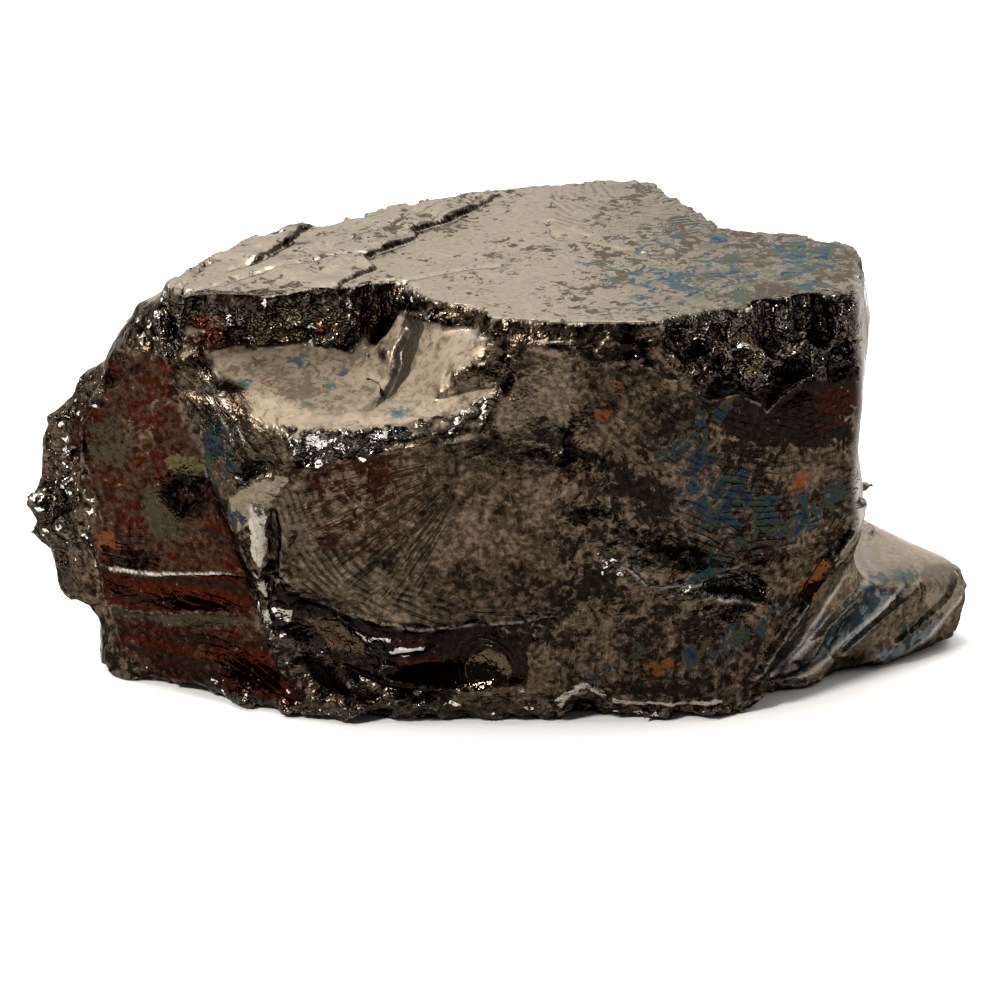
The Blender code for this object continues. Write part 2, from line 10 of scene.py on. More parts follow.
import bpy
import numpy as np
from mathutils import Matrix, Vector


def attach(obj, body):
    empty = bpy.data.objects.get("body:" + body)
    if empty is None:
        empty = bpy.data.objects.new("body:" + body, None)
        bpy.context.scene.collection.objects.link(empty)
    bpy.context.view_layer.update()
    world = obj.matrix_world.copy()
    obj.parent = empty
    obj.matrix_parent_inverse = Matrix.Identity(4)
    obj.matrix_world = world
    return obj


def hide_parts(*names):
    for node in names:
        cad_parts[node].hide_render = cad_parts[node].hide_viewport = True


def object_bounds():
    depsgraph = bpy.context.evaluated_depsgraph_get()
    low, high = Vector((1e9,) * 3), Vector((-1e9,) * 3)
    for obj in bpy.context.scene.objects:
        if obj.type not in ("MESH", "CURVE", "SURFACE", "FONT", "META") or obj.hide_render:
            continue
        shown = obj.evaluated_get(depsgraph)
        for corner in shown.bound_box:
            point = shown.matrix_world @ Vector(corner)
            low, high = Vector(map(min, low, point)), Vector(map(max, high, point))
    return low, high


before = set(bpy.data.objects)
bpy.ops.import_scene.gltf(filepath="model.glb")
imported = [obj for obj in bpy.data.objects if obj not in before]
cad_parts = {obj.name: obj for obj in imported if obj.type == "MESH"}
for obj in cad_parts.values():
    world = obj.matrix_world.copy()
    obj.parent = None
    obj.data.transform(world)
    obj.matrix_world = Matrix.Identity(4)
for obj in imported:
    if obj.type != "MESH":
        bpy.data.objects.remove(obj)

NODE = "shungite_stone"
cad_box = [list(corner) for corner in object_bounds()]

# %% [markdown]
# All the tables below are in millimetres on the builder's grid: X to the right, Y to the back, Z up. The
# packed stone stands with the middle of its box over the origin, so the grid is a little off the frame.

# %% The grid
MM = 0.001
GRID_SHIFT = np.array([-0.04, 2.23, 0.0])    # from the grid to the frame, in millimetres
print("grid shift", GRID_SHIFT.tolist(), "mm")

# %% [markdown]
# The stone lies on a plain pale floor that runs on behind it. A light tent is the usual way to picture
# something this glossy: the world is a bright even white, so every face mirrors something calm, and the
# wall behind is brighter than the floor in front, which makes the flat top shine.

# %% Floor, light and camera
CAMERA_DISTANCE, CAMERA_RISE = 0.480, math.radians(20.0)
TARGET = Vector((0.0, 0.0, 18.6)) * MM + Vector(GRID_SHIFT) * MM
VIEW_WIDTH = 0.1273    # metres across the picture, at the target
SENSOR = 36.0
FLOOR_SIZE, FLOOR_COLOUR, FLOOR_ROUGHNESS = 6.0, (0.86, 0.85, 0.84), 0.6
TENT_COLOUR = (1.0, 0.985, 0.96, 1.0)
TENT_STRENGTH = {"From Min": -0.35, "From Max": 0.6, "To Min": 0.10, "To Max": 2.6}    # from front to back


def plain_material(name, colour, roughness):
    material = bpy.data.materials.new(name)
    material.use_nodes = True
    shader = material.node_tree.nodes["Principled BSDF"]
    shader.inputs["Base Color"].default_value = (*colour, 1.0)
    shader.inputs["Roughness"].default_value = roughness
    return material


def floor_and_world():
    bpy.ops.object.select_all(action="DESELECT")
    bpy.ops.mesh.primitive_plane_add(size=FLOOR_SIZE, location=(0, 0, 0))
    floor = bpy.context.object
    floor.name = "floor"
    floor.data.materials.append(plain_material("pale floor", FLOOR_COLOUR, FLOOR_ROUGHNESS))
    world = bpy.data.worlds.new("light tent")
    world.use_nodes = True
    nodes, links = world.node_tree.nodes, world.node_tree.links
    background = nodes["Background"]
    place = nodes.new("ShaderNodeTexCoord")
    apart = nodes.new("ShaderNodeSeparateXYZ")
    ramp = nodes.new("ShaderNodeMapRange")
    links.new(place.outputs["Generated"], apart.inputs[0])
    links.new(apart.outputs["Y"], ramp.inputs["Value"])
    for name, number in TENT_STRENGTH.items():
        ramp.inputs[name].default_value = number
    links.new(ramp.outputs["Result"], background.inputs["Strength"])
    background.inputs["Color"].default_value = TENT_COLOUR
    bpy.context.scene.world = world


def area_light(name, place, size, power, colour):
    data = bpy.data.lights.new(name, "AREA")
    data.shape, data.size, data.energy, data.color = "SQUARE", size, power, colour
    lamp = bpy.data.objects.new(name, data)
    lamp.location = place
    lamp.rotation_euler = (Vector((0, 0, 0.02)) - Vector(place)).to_track_quat("-Z", "Y").to_euler()
    bpy.context.scene.collection.objects.link(lamp)


def camera():
    data = bpy.data.cameras.new("camera")
    data.sensor_width = SENSOR
    data.lens = SENSOR * CAMERA_DISTANCE / VIEW_WIDTH
    eye = bpy.data.objects.new("camera", data)
    back = Vector((0, -math.cos(CAMERA_RISE), math.sin(CAMERA_RISE)))
    eye.location = TARGET + back * CAMERA_DISTANCE
    eye.rotation_euler = (-back).to_track_quat("-Z", "Y").to_euler()
    bpy.context.scene.collection.objects.link(eye)
    bpy.context.scene.camera = eye


floor_and_world()
area_light("soft box above", (-0.20, 0.05, 0.75), 0.5, 6.0, (1.0, 0.98, 0.95))
area_light("window on the left", (-0.42, -0.40, 0.52), 0.12, 6.0, (1.0, 0.97, 0.93))
camera()
bpy.context.scene.view_settings.view_transform = "Standard"
print("camera lens", round(bpy.context.scene.camera.data.lens, 1))

# %% [markdown]
# The fine skin starts as a copy of the solid. Its triangles are merged, remade as even small quads, and
# smoothed a little, so that the solid's flat facets no longer show.

# %% A fine skin
SKIN_EDGE = 0.40    # millimetres
SMOOTH_TIMES = 3
MERGE_DISTANCE = 0.000001    # metres


def apply_all(piece):
    bpy.ops.object.select_all(action="DESELECT")
    piece.select_set(True)
    bpy.context.view_layer.objects.active = piece
    for modifier in list(piece.modifiers):
        bpy.ops.object.modifier_apply(modifier=modifier.name)


def fine_copy():
    source = bpy.data.objects[NODE]
    piece = bpy.data.objects.new("shungite_skin", source.data.copy())
    bpy.context.scene.collection.objects.link(piece)
    weld = piece.modifiers.new("merge", "WELD")
    weld.merge_threshold = MERGE_DISTANCE
    even = piece.modifiers.new("even skin", "REMESH")
    even.mode = "VOXEL"
    even.voxel_size = SKIN_EDGE * MM
    soften = piece.modifiers.new("soften", "SMOOTH")
    soften.factor, soften.iterations = 0.5, SMOOTH_TIMES
    apply_all(piece)
    return piece


stone = fine_copy()
print("skin", len(stone.data.polygons), "faces")

# %% [markdown]
# Relief this small is worked straight into the points, as a sculptor would with strokes. Each stroke has
# a place seen from the front (X and Z) or from above (X and Y), and moves only the points that face that
# way. Noise bends the strokes, because nothing in broken rock is straight.

# %% Points and normals
def read_points(piece):
    points = np.empty(len(piece.data.vertices) * 3, np.float32)
    piece.data.vertices.foreach_get("co", points)
    return points.reshape(-1, 3).astype(float) / MM - GRID_SHIFT


def write_points(piece, points):
    piece.data.vertices.foreach_set("co", ((points + GRID_SHIFT) * MM).astype(np.float32).ravel())
    piece.data.update()


def read_normals(piece):
    normals = np.empty(len(piece.data.vertices) * 3, np.float32)
    piece.data.vertex_normals.foreach_get("vector", normals)
    return normals.reshape(-1, 3).astype(float)


print("points", len(read_points(stone)))

# %% [markdown]
# Broken rock needs noise. It comes from whole-number arithmetic on a lattice, so that every run of the
# script makes the same stone. One kind is smooth, and the other is a patchwork of small tilted planes.

# %% Noise and broken cells
HASH = (73856093, 19349663, 83492791, 374761393)    # for the three axes and the seed
SLOPES = np.array([(1, 1, 0), (-1, 1, 0), (1, -1, 0), (-1, -1, 0), (1, 0, 1), (-1, 0, 1), (1, 0, -1),
                   (-1, 0, -1), (0, 1, 1), (0, -1, 1), (0, 1, -1), (0, -1, -1), (1, 1, 0), (-1, 1, 0),
                   (0, -1, 1), (0, -1, -1)])


def scramble(cell, salt):
    """A fixed random whole number for each whole-number cell."""
    key = (cell[:, 0] * HASH[0]) ^ (cell[:, 1] * HASH[1]) ^ (cell[:, 2] * HASH[2]) ^ (salt * HASH[3])
    key = ((key ^ (key >> 13)) * 1274126177) & 0xFFFFFFFF
    key = ((key ^ (key >> 15)) * 668265263) & 0xFFFFFFFF
    return (key >> 8) & 0xFFFF


def scatter(cell, salt):
    """A fixed random number from 0 to 1 for each whole-number cell."""
    return scramble(cell, salt) / 65535.0


def wave(points, size, seed):
    """Smooth noise from about -1 to 1, whose bumps are about as wide as the size."""
    places = points / size + 17.3
    corner = np.floor(places).astype(np.int64)
    share = places - corner
    soft = share * share * share * (share * (share * 6 - 15) + 10)
    total = np.zeros(len(points))
    for step in np.ndindex(2, 2, 2):
        cell = corner + step
        slope = (SLOPES[scramble(cell, seed) & 15] * (share - step)).sum(axis=1)
        weight = np.prod(np.where(np.array(step) == 1, soft, 1 - soft), axis=1)
        total += weight * slope
    return total


def facets(points, size, seed, cup=0.0):
    """Scattered cells, each a small tilted plane, or a hollow cup with sharp rims, as broken glass has."""
    places = points / size + 11.9
    corner = np.floor(places).astype(np.int64)
    nearest = np.full(len(points), 9.0)
    plane = np.zeros(len(points))
    for step in np.ndindex(3, 3, 3):
        cell = corner + np.array(step) - 1
        centre = cell + np.stack([scatter(cell, seed * 7 + axis) for axis in range(3)], axis=1)
        away = places - centre
        distance = (away * away).sum(axis=1)
        first = distance < nearest
        tilt = np.stack([scatter(cell[first], seed * 7 + 3 + axis) * 2 - 1 for axis in range(3)], axis=1)
        plane[first] = (away[first] * tilt).sum(axis=1) + scatter(cell[first], seed * 7 + 6) * 0.6 - 0.3
        nearest = np.minimum(nearest, distance)
    return (1 - cup) * plane + cup * (nearest - 0.3)


print("noise at three places", wave(np.arange(9.0).reshape(3, 3), 2.4, 1).round(3))

# %% [markdown]
# Every stroke is a line of places, and every zone is an outline. So the lesson needs the distance to a
# line, the depth inside an outline, and a way to bend both so that they come out ragged.

# %% Lines and outlines
def smooth_step(low, high, values):
    share = np.clip((values - low) / (high - low), 0.0, 1.0)
    return share * share * (3 - 2 * share)


def tapered(passed, end):
    """Fades a stroke in and out over this share of its length."""
    return smooth_step(0.0, end, passed) * smooth_step(1.0, 1.0 - end, passed)


def beside_line(places, line):
    """Each place's distance from the line, above zero on its left, and the share of the line passed."""
    best = np.full(len(places), np.inf)
    signed = np.zeros(len(places))
    passed = np.zeros(len(places))
    for number, (start, end) in enumerate(zip(line[:-1], line[1:])):
        start, along = np.array(start), np.subtract(end, start)
        share = np.clip((places - start) @ along / (along @ along), 0.0, 1.0)
        away = places - (start + share[:, None] * along)
        distance = np.hypot(away[:, 0], away[:, 1])
        nearer = distance < best
        left = along[0] * away[:, 1] - along[1] * away[:, 0]
        best[nearer] = distance[nearer]
        signed[nearer] = np.copysign(distance, left)[nearer]
        passed[nearer] = ((number + share) / (len(line) - 1))[nearer]
    return signed, passed


def inside(places, outline):
    """How far each place lies inside a closed outline, below zero outside."""
    ring = list(outline) + [outline[0]]
    distance = np.abs(beside_line(places, ring)[0])
    within = np.zeros(len(places), bool)
    for (x0, y0), (x1, y1) in zip(ring[:-1], ring[1:]):
        crossing = (y0 > places[:, 1]) != (y1 > places[:, 1])
        height = y1 - y0 if y1 != y0 else 1e-9
        at = x0 + (places[:, 1] - y0) * (x1 - x0) / height
        within ^= crossing & (places[:, 0] < at)
    return np.where(within, distance, -distance)


def strongest(table, view, facing, low, high):
    """The strongest of several zones at each place. Each zone is an outline and its own amount."""
    total = np.zeros(len(view))
    for outline, amount in table:
        total = np.maximum(total, amount * facing * smooth_step(low, high, inside(view, outline)))
    return total


def bent(view, points, seed, amount, size):
    """The view bent by coarse and fine noise, so that a straight stroke comes out ragged."""
    shift = [amount * wave(points, size, seed + axis)
             + 0.4 * amount * wave(points, size * 0.38, seed + 2 + axis) for axis in (0, 1)]
    return view + np.stack(shift, axis=1)


print("depth inside a square of 2", inside(np.array([(1.0, 1.0)]), [(0, 0), (2, 0), (2, 2), (0, 2)]))

# %% [markdown]
# Two tools work over the mesh itself: one measures how far a point stands out of its surroundings, and
# the other smooths a zone as a polishing stroke would, without touching its border.

# %% Surroundings of a point
def edge_ends(piece):
    ends = np.empty(len(piece.data.edges) * 2, np.int32)
    piece.data.edges.foreach_get("vertices", ends)
    return ends.reshape(-1, 2)


def neighbour_mean(values, ends, count):
    total = np.zeros_like(values)
    for axis in range(values.shape[1]):
        total[:, axis] = (np.bincount(ends[:, 0], values[ends[:, 1], axis], len(values))
                          + np.bincount(ends[:, 1], values[ends[:, 0], axis], len(values)))
    return total / count[:, None]


def bulge(piece, points, normals, times):
    """How far each point stands out of its surroundings, in millimetres, below zero in a hollow."""
    ends = edge_ends(piece)
    count = np.bincount(ends.ravel(), minlength=len(points)).astype(float)
    soft = points
    for _ in range(times):
        soft = 0.5 * soft + 0.5 * neighbour_mean(soft, ends, count)
    return ((points - soft) * normals).sum(axis=1)


def polish(piece, points, share, times):
    """Evens out the points inside a zone, and leaves all others in place."""
    ends = edge_ends(piece)
    ends = ends[(share[ends] > 0.0).any(axis=1)]
    used, ends = np.unique(ends, return_inverse=True)
    ends = ends.reshape(-1, 2)
    count = np.bincount(ends.ravel(), minlength=len(used)).astype(float)
    even, weight = points[used], 0.7 * share[used, None]
    for _ in range(times):
        even = even + weight * (neighbour_mean(even, ends, count) - even)
    points = points.copy()
    points[used] = even
    return points


points = read_points(stone)
print("edges", len(edge_ends(stone)), "box", points.min(axis=0).round(2), points.max(axis=0).round(2))

# %% [markdown]
# The largest faces are single fractures through glass, so they are smooth sweeps that end at sharp edges.
# Each is an outline seen from the front, and the ledge is one seen from above.

# %% Outlines of the glassy faces
FLANK = [(-48.1, 40.4), (-40.3, 45.1), (-39.5, 41.9), (-40.1, 38.8), (-37.5, 33.6), (-34.5, 29),
         (-31.5, 23.2), (-30.3, 19.5), (-30.4, 14.3), (-29.6, 9.2), (-24.4, 2.5), (-29.5, -0.3),
         (-37.2, 0.2), (-43.7, 1.4), (-48.1, 5.1), (-49.5, 9.5), (-50.7, 17.3), (-49.7, 23.5),
         (-53.3, 25.4), (-53.5, 31.9), (-48.9, 36.6)]
SHELL = [(-28.5, 21.7), (-27.7, 26.8), (-25.5, 31.9), (-21.3, 34.4), (-11.8, 36.9), (-2.4, 38.1),
         (2.4, 36.3), (6.6, 36), (7.2, 16.6), (0, 14), (-9.6, 12.9), (-18.1, 14), (-23.4, 16.3),
         (-25.8, 18.5)]
PLATE = [(2.3, 48.7), (8.8, 48.1), (8.5, 41.9), (7.1, 35.9), (2.4, 36.6), (-1.4, 38.8), (0, 41.9),
         (2.4, 44.4)]
PROW = [(-39.4, 43), (-37.1, 45.9), (-32.7, 46.3), (-30.2, 44.2), (-26.6, 39.9), (-25, 37.9),
        (-24.8, 33.4), (-27.4, 33.1), (-31, 32), (-31.6, 24.6), (-32.8, 26.9), (-34.2, 30.8),
        (-36.3, 34.4), (-38.8, 39.9)]
FIN = [(-27.4, 33.1), (-24.8, 32.6), (-29.4, 26.8), (-31.5, 25), (-32.4, 28.8), (-30.4, 30.8)]
LOW_BAND = [(3.6, 14.7), (31.4, 14.7), (31.7, 2.9), (3.6, 3.2)]
RIGHT_FACE = [(8, 46), (22, 44.6), (43.5, 41), (43.5, 20), (27, 19), (20, 24), (14, 28), (12, 35)]
UNDERCUT = [(-26.5, 17.2), (-24.1, 15.5), (-19.3, 13.6), (-12.1, 12.4), (-3.6, 12.6), (3, 11.6), (3.2, 6),
            (-8.5, 4.4), (-12.2, 3.6), (-18.2, 5.9), (-24.2, 9.7), (-27.2, 12.3)]
BUTTRESS = [(44.4, 25), (46.6, 16.5), (58.5, 11.5), (60.5, 4), (44, 0.5), (32, 2), (36, 12)]
# Seen from above.
LEDGE = [(-39.4, -19.8), (-38, -16.2), (-34, -14.6), (-25.5, -15), (-19.7, -8.2), (-16.3, 1.8),
         (-12.7, 6.5), (-6.9, 0.5), (-3.7, -2), (3, -12), (3, -26.7), (-4.7, -34.1), (-12.1, -40.2),
         (-24.1, -41.3), (-27.8, -33), (-31, -23.6), (-36.2, -17.8)]
# Where the ledge curves up to the top, seen from the front.
SWEEP = [(-13.4, 46.9), (-12.1, 49), (-10.5, 49.8), (-7.7, 49.8), (-5.4, 48.6), (-3.3, 47.4), (0, 45.4),
         (0.7, 43.7), (-2.4, 41.6), (-8.4, 41.6), (-12.6, 41.6)]
GLASSY = (FLANK, SHELL, PLATE, PROW, FIN, RIGHT_FACE, LOW_BAND, UNDERCUT, BUTTRESS)
print(len(GLASSY), "glassy faces on the front, and the ledge with", len(LEDGE), "places")

# %% [markdown]
# The ledge is shaved down to a shelf that tilts forward, and its rim climbs to the right. Then polishing
# evens out the inside of every glassy face and leaves its border alone.

# %% Shave the ledge and polish the faces
RIM_HEIGHT, RIM_RISE, RIM_TURN = 39.8, 0.33, -10.0    # the ledge's front rim climbs to the right of the turn
LEDGE_SLOPE, LEDGE_TOP, RIM_Y = 0.24, 43.0, -31.0
POLISH_TIMES, RIM_TIMES = 110, 30


def ledge_amount(points, normals):
    """How much each point belongs to the ledge, from 0 to 1."""
    flat = smooth_step(0.2, 0.6, normals[:, 2]) * smooth_step(-0.3, 1.0, inside(points[:, [0, 1]], LEDGE))
    sweep = smooth_step(-0.5, 0.8, inside(points[:, [0, 2]], SWEEP)) * smooth_step(-29.0, -27.5, points[:, 1])
    sweep = sweep * smooth_step(-0.2, 0.2, normals[:, 2]) * smooth_step(0.2, -0.1, normals[:, 1])
    amount = np.maximum(flat, sweep) * smooth_step(36.0, 38.0, points[:, 2])
    return amount * smooth_step(49.4, 48.4, points[:, 2])


def foot_amount(points, up):
    """How much each point belongs to the low shelf at the right, from 0 to 1."""
    return up * smooth_step(40.0, 42.0, points[:, 0]) * smooth_step(30.0, 26.0, points[:, 2])


rim = RIM_HEIGHT + RIM_RISE * np.maximum(points[:, 0] - RIM_TURN, 0.0)
shelf = rim + LEDGE_SLOPE * (points[:, 1] - RIM_Y)
shelf = np.minimum(shelf, LEDGE_TOP + 0.03 * (points[:, 1] + 20.0))
shaved = smooth_step(-21.0, -17.0, points[:, 0]) * smooth_step(-0.4, 0.6, inside(points[:, [0, 1]], LEDGE))
shaved *= smooth_step(46.5, 45.0, points[:, 2]) * (points[:, 2] > shelf)
front_view = points[:, [0, 2]]    # as it was before the shave
points[:, 2] -= shaved * (points[:, 2] - shelf)
write_points(stone, points)
normals = read_normals(stone)
facing_front = smooth_step(0.05, 0.45, -normals[:, 1])
glassy = strongest([(outline, 1.0) for outline in GLASSY], front_view, facing_front, 0.0, 0.8)
ledge = ledge_amount(points, normals)
foot = foot_amount(points, smooth_step(0.45, 0.8, normals[:, 2]))
glassy = np.max([glassy, ledge, foot], axis=0)
points = polish(stone, points, glassy, POLISH_TIMES)
edge_bulge = bulge(stone, points, normals, RIM_TIMES)
front_view, top_view = points[:, [0, 2]], points[:, [0, 1]]
print("polished points", int((glassy > 0.5).sum()))

# %% [markdown]
# Where the block was struck or ground away, it crumbled into small facets with sharp edges. Each crumbled
# zone is an outline seen from the front or from above, and the wall is the recess behind the ledge. All
# of them get tilted cells of three sizes, coarse to fine.

# %% Crumbled zones
PITTED = [(18, 51.2), (43.5, 52), (43.8, 42), (32, 41), (20, 44.4)]    # the broken corner at the upper right
RING = [(-24.2, 12.3), (-19.3, 13.3), (-15.5, 11), (-16.4, 7.7), (-20.6, 8.3)]    # a cup in the undercut
RIM_BAND = [(-24.8, 40.2), (-20.1, 39.4), (-12.4, 40), (-4.7, 41.9), (0.9, 43.9), (1.8, 42), (-3.5, 39.4),
            (-9.5, 37.5), (-15.4, 35), (-23.1, 33.5), (-25.3, 35.6)]
CRUMBLED = [
    ("wall", [(-42, 50.5), (-20, 51.2), (-6, 50.6), (0, 45), (-10, 42.6), (-24, 42.6), (-42, 43.5)],
      0.85),
    ("front", RIM_BAND, 0.8),
    ("front", PITTED, 0.9),
    ("front", [(-62, 44), (-48.5, 44), (-48, 36), (-53, 31), (-52, 22), (-50.5, 6), (-62, 6)], 0.46),
    ("front", [(-46, 1.6), (-24, 2.6), (0, 3.2), (20, 2), (31, 1.6), (31, -2), (-46, -2)], 0.75),
    ("front", [(-30.5, 20.5), (-28.6, 15.4), (-20, 13.6), (-13.5, 12), (-13, 7), (-20, 5.6), (-30.5, 8)],
      0.35),
    ("front", [(11, 24.6), (14.4, 22.4), (19, 18.6), (25, 19.4), (33, 19), (34, 14.4), (22, 15.2),
      (12, 20.4)], 0.6),
    ("above", [(-44, -17.5), (-30, -16.6), (-14, -17.6), (-2, -16), (-2, -13), (-44, -13)], 0.25),
]
CRUMB_SIZES = ((5.2, 0.34, 0.3), (2.6, 0.36, 0.7), (1.3, 0.22, 0.7))    # width, height as a share, how cupped


def crumbled_amount(points, normals):
    """How crumbled each point is, from 0 to about 1."""
    up = smooth_step(0.45, 0.8, normals[:, 2])
    views = {"front": bent(points[:, [0, 2]], points, 200, 1.2, 3.0),
             "above": bent(points[:, [0, 1]], points, 210, 1.2, 3.0)}
    amount = np.zeros(len(points))
    upright = 1 - np.maximum(up, ledge_amount(points, normals))
    recess = np.maximum(smooth_step(-20.5, -18.0, points[:, 1]), smooth_step(-36.0, -38.0, points[:, 0]))
    facings = {"front": upright, "wall": upright * recess, "above": up * (points[:, 2] < 47)}
    for side, outline, strength in CRUMBLED:
        within = inside(views["above" if side == "above" else "front"], outline)
        amount = np.maximum(amount, strength * facings[side] * smooth_step(-0.4, 1.2, within))
    return amount


crumbled = crumbled_amount(points, normals)
crumbs = sum(size * height * facets(points, size, 20 + number, cup) * crumbled ** (1 + 0.7 * number)
             for number, (size, height, cup) in enumerate(CRUMB_SIZES))
away_from_top = smooth_step(0.0, 1.0, 51.3 - points[:, 2])
points += normals * (crumbs * (0.25 + 0.75 * away_from_top) - 0.15 * crumbled)[:, None]
print("crumbled points", int((crumbled > 0.3).sum()))

# %% [markdown]
# The front carries three kinds of small form. A step is a line with the ground on its left raised, and
# that ground fades out behind. A stroke is a narrow groove or lip along a line, and a pit is a round cup.

# %% Steps, strokes and pits of the front
STEPS = [    # the line, how much higher the ground on its left is, and how far that ground reaches
    ([(9, 15), (3, 13.6), (-4, 12.8), (-9.6, 12.6), (-15, 13.4), (-18.1, 14), (-23.4, 16.3),
      (-25.8, 18.5), (-27.6, 22)], -1.2, 6),
    ([(-50, 15), (-47.8, 15.1), (-43.2, 15.5), (-38, 16.2), (-32.8, 17.1), (-30.8, 17.4)], 0.45, 3),
    ([(-50, 10.3), (-44.8, 10.2), (-38.2, 11.1), (-30.8, 11.6)], 0.45, 3),
    ([(7.1, 37.4), (10.1, 35.5), (11.9, 34.8), (13.1, 32.3), (13.3, 28.5), (14.3, 26), (16.7, 24.1),
      (19.8, 22.5)], -0.4, 6),
    ([(11.7, 23.9), (12.6, 22.3), (14.4, 21.6), (16.8, 20), (18.3, 18.4), (22.8, 18.4), (26, 18.2)], 0.5,
      5),
    ([(-2.4, 15.6), (2.4, 15.6), (12, 15.9), (16.8, 16.6), (24, 16), (31, 14.8)], 0.3, 6),
    ([(-20, 6.6), (-12, 5), (-4, 4), (4, 4.4)], 0.5, 3),
    ([(44.6, 26), (43, 21.5), (39.6, 17), (36.6, 12), (33, 8), (30.4, 3.6)], 0.9, 4),
    ([(48, 14.6), (44, 11.4), (40, 8.6), (36, 4)], 0.7, 3),
    ([(53, 10.6), (49, 8.6), (45, 5.4), (42, 3)], 0.7, 3),
    ([(58, 10), (56.6, 7), (52, 4.6), (49, 3.4)], 0.5, 3),
]
STEP_SLOPE = 0.22
FRONT_STROKES = [    # the line, its height (below zero for a groove) and its width
    ([(6.7, 1.8), (8.5, 3.8), (11, 4.7), (12.8, 3.8), (13.7, 1.4)], 0.5, 0.5),
    ([(-29.3, 29.2), (-28.4, 26), (-28.6, 21.5), (-29.8, 16.4)], 0.5, 0.5),
    ([(-27.4, 29.2), (-27, 26.6), (-27.1, 21.5), (-28.2, 15.4), (-26, 12.4)], -0.9, 0.6),
    ([(-31.4, 31.8), (-30, 32.9), (-28.4, 33.4), (-26.6, 33.7)], -1, 0.8),
    ([(-2.4, 38.4), (2.4, 36.5), (6.6, 36.2)], -0.35, 0.35),
    ([(-21.3, 34.8), (-11.8, 37.3), (-2.4, 38.5)], -0.35, 0.35),
    ([(21.4, 45.3), (26, 44), (28.6, 45.2), (31.5, 42.6), (35.6, 46.2), (39, 49.6)], 0.7, 0.5),
    ([(11.9, 46.6), (16.6, 47), (19, 44.2), (23.8, 44.1)], 0.4, 0.5),
    ([(23.9, 41), (28, 41.4), (32, 38.8), (37, 41.9), (39.6, 44.8), (42.6, 45.4)], 0.5, 0.45),
    ([(26.2, 50), (27.4, 46.6), (31, 46), (34, 43.4)], 0.5, 0.4),
    ([(24, 17.2), (29.6, 17.7), (32.4, 15.2)], -0.8, 0.7),
    ([(25, 17), (31.6, 16.2)], -0.7, 0.6),
    ([(36.8, 12.9), (39.4, 15.8), (40.2, 18.4)], -0.7, 0.7),
    ([(14.8, 0.9), (28.4, 1.2), (37, 3.2), (38.8, 5.2), (40.5, 8.3)], 0.35, 0.45),
    ([(-50, 36.6), (-46, 38.6), (-42.6, 41.8), (-40.6, 45.6)], 0.4, 0.5),
    ([(-52.4, 33.4), (-50.6, 27), (-49, 21), (-50.2, 13)], 0.4, 0.5),
    ([(-13.9, 9), (-12.1, 9.6), (-8.5, 9.9)], 0.7, 0.7),
    ([(-24.2, 12.3), (-19.3, 13), (-15.5, 11), (-16.4, 7.7)], 0.4, 0.7),
]
LEDGE_HOLLOWS = [    # crescents seen from above: the line, the depth and the greatest width
    ([(-15.4, -28.2), (-12.5, -23.6), (-9, -18.2), (-6.2, -11.9), (-5, -3.3)], 0.7, 1.1),
    ([(-17.7, -15.6), (-15.3, -10.4), (-13.2, -3.8)], 0.6, 1),
]
PITS = [    # the centre seen from the front, the radius and the depth
    (26.7, 48.9, 1.6, 1.1), (34.4, 49.2, 1.7, 1.1), (38, 46.9, 1.9, 1.2), (28.6, 45.9, 1.3, 0.9),
    (23.7, 46.9, 1.2, 0.7), (39.7, 49.6, 1.3, 0.9), (32.7, 46.4, 1.4, 0.9), (41.6, 44.6, 1.5, 1),
    (35.5, 43.2, 1.9, 0.8), (21.4, 48.3, 1, 0.5), (30.8, 49.4, 1.1, 0.8), (4.6, 40, 0.6, 0.3),
    (9.6, 30, 0.5, 0.25), (-52.4, 27, 1.6, 0.9), (-55, 35, 1.8, 0.9), (-55.6, 13.8, 1.6, 0.9)]


print(len(STEPS), "steps,", len(FRONT_STROKES), "strokes,", len(PITS), "pits")

# %% [markdown]
# All three are summed into one height at each point, and the points then move along their own normals.

# %% Carve the front and the ledge
PIT_SQUASH = 1.5    # how much wider than high a pit is


def strokes(points, view, facing):
    ragged = bent(view, points, 300, 0.35, 2.2)
    total = np.zeros(len(points))
    for line, height, width in FRONT_STROKES:
        away, passed = beside_line(ragged, line)
        total += height * tapered(passed, 0.12) * facing * np.exp(-(away / width) ** 2)
    return total


def pits(points, view, facing):
    ragged = bent(view, points, 310, 0.6, 1.6)
    total = np.zeros(len(points))
    for x, z, radius, depth in PITS:
        share = np.hypot(ragged[:, 0] - x, (ragged[:, 1] - z) * PIT_SQUASH) / radius
        total -= depth * facing * smooth_step(1.15, 0.55, share)
    return total


def steps(points, view, facing):
    ragged = bent(view, points, 320, 0.25, 2.0)
    total = np.zeros(len(points))
    for line, height, reach in STEPS:
        away, passed = beside_line(ragged, line)
        raised = smooth_step(-STEP_SLOPE, STEP_SLOPE, away) * np.clip(1.0 - away / reach, 0.0, 1.0)
        total += height * facing * tapered(passed, 0.08) * raised
    return total


carved = sum(form(points, front_view, facing_front) for form in (strokes, pits, steps))
ledge_view = bent(top_view, points, 330, 0.5, 2.4)
for line, depth, width in LEDGE_HOLLOWS:
    away, passed = beside_line(ledge_view, line)
    thick = width * (0.35 + 0.65 * np.sin(np.pi * passed))
    carved -= depth * ledge * np.exp(-(away / thick) ** 2)
points += normals * carved[:, None]
print("deepest stroke", carved.min().round(2), "highest", carved.max().round(2))

# %% [markdown]
# The top is one cleavage plane, as flat as glass, with two ragged scarps at its left and a low rippled
# mound at its back. It is set to exact heights, so that it mirrors the wall behind without wobbling.

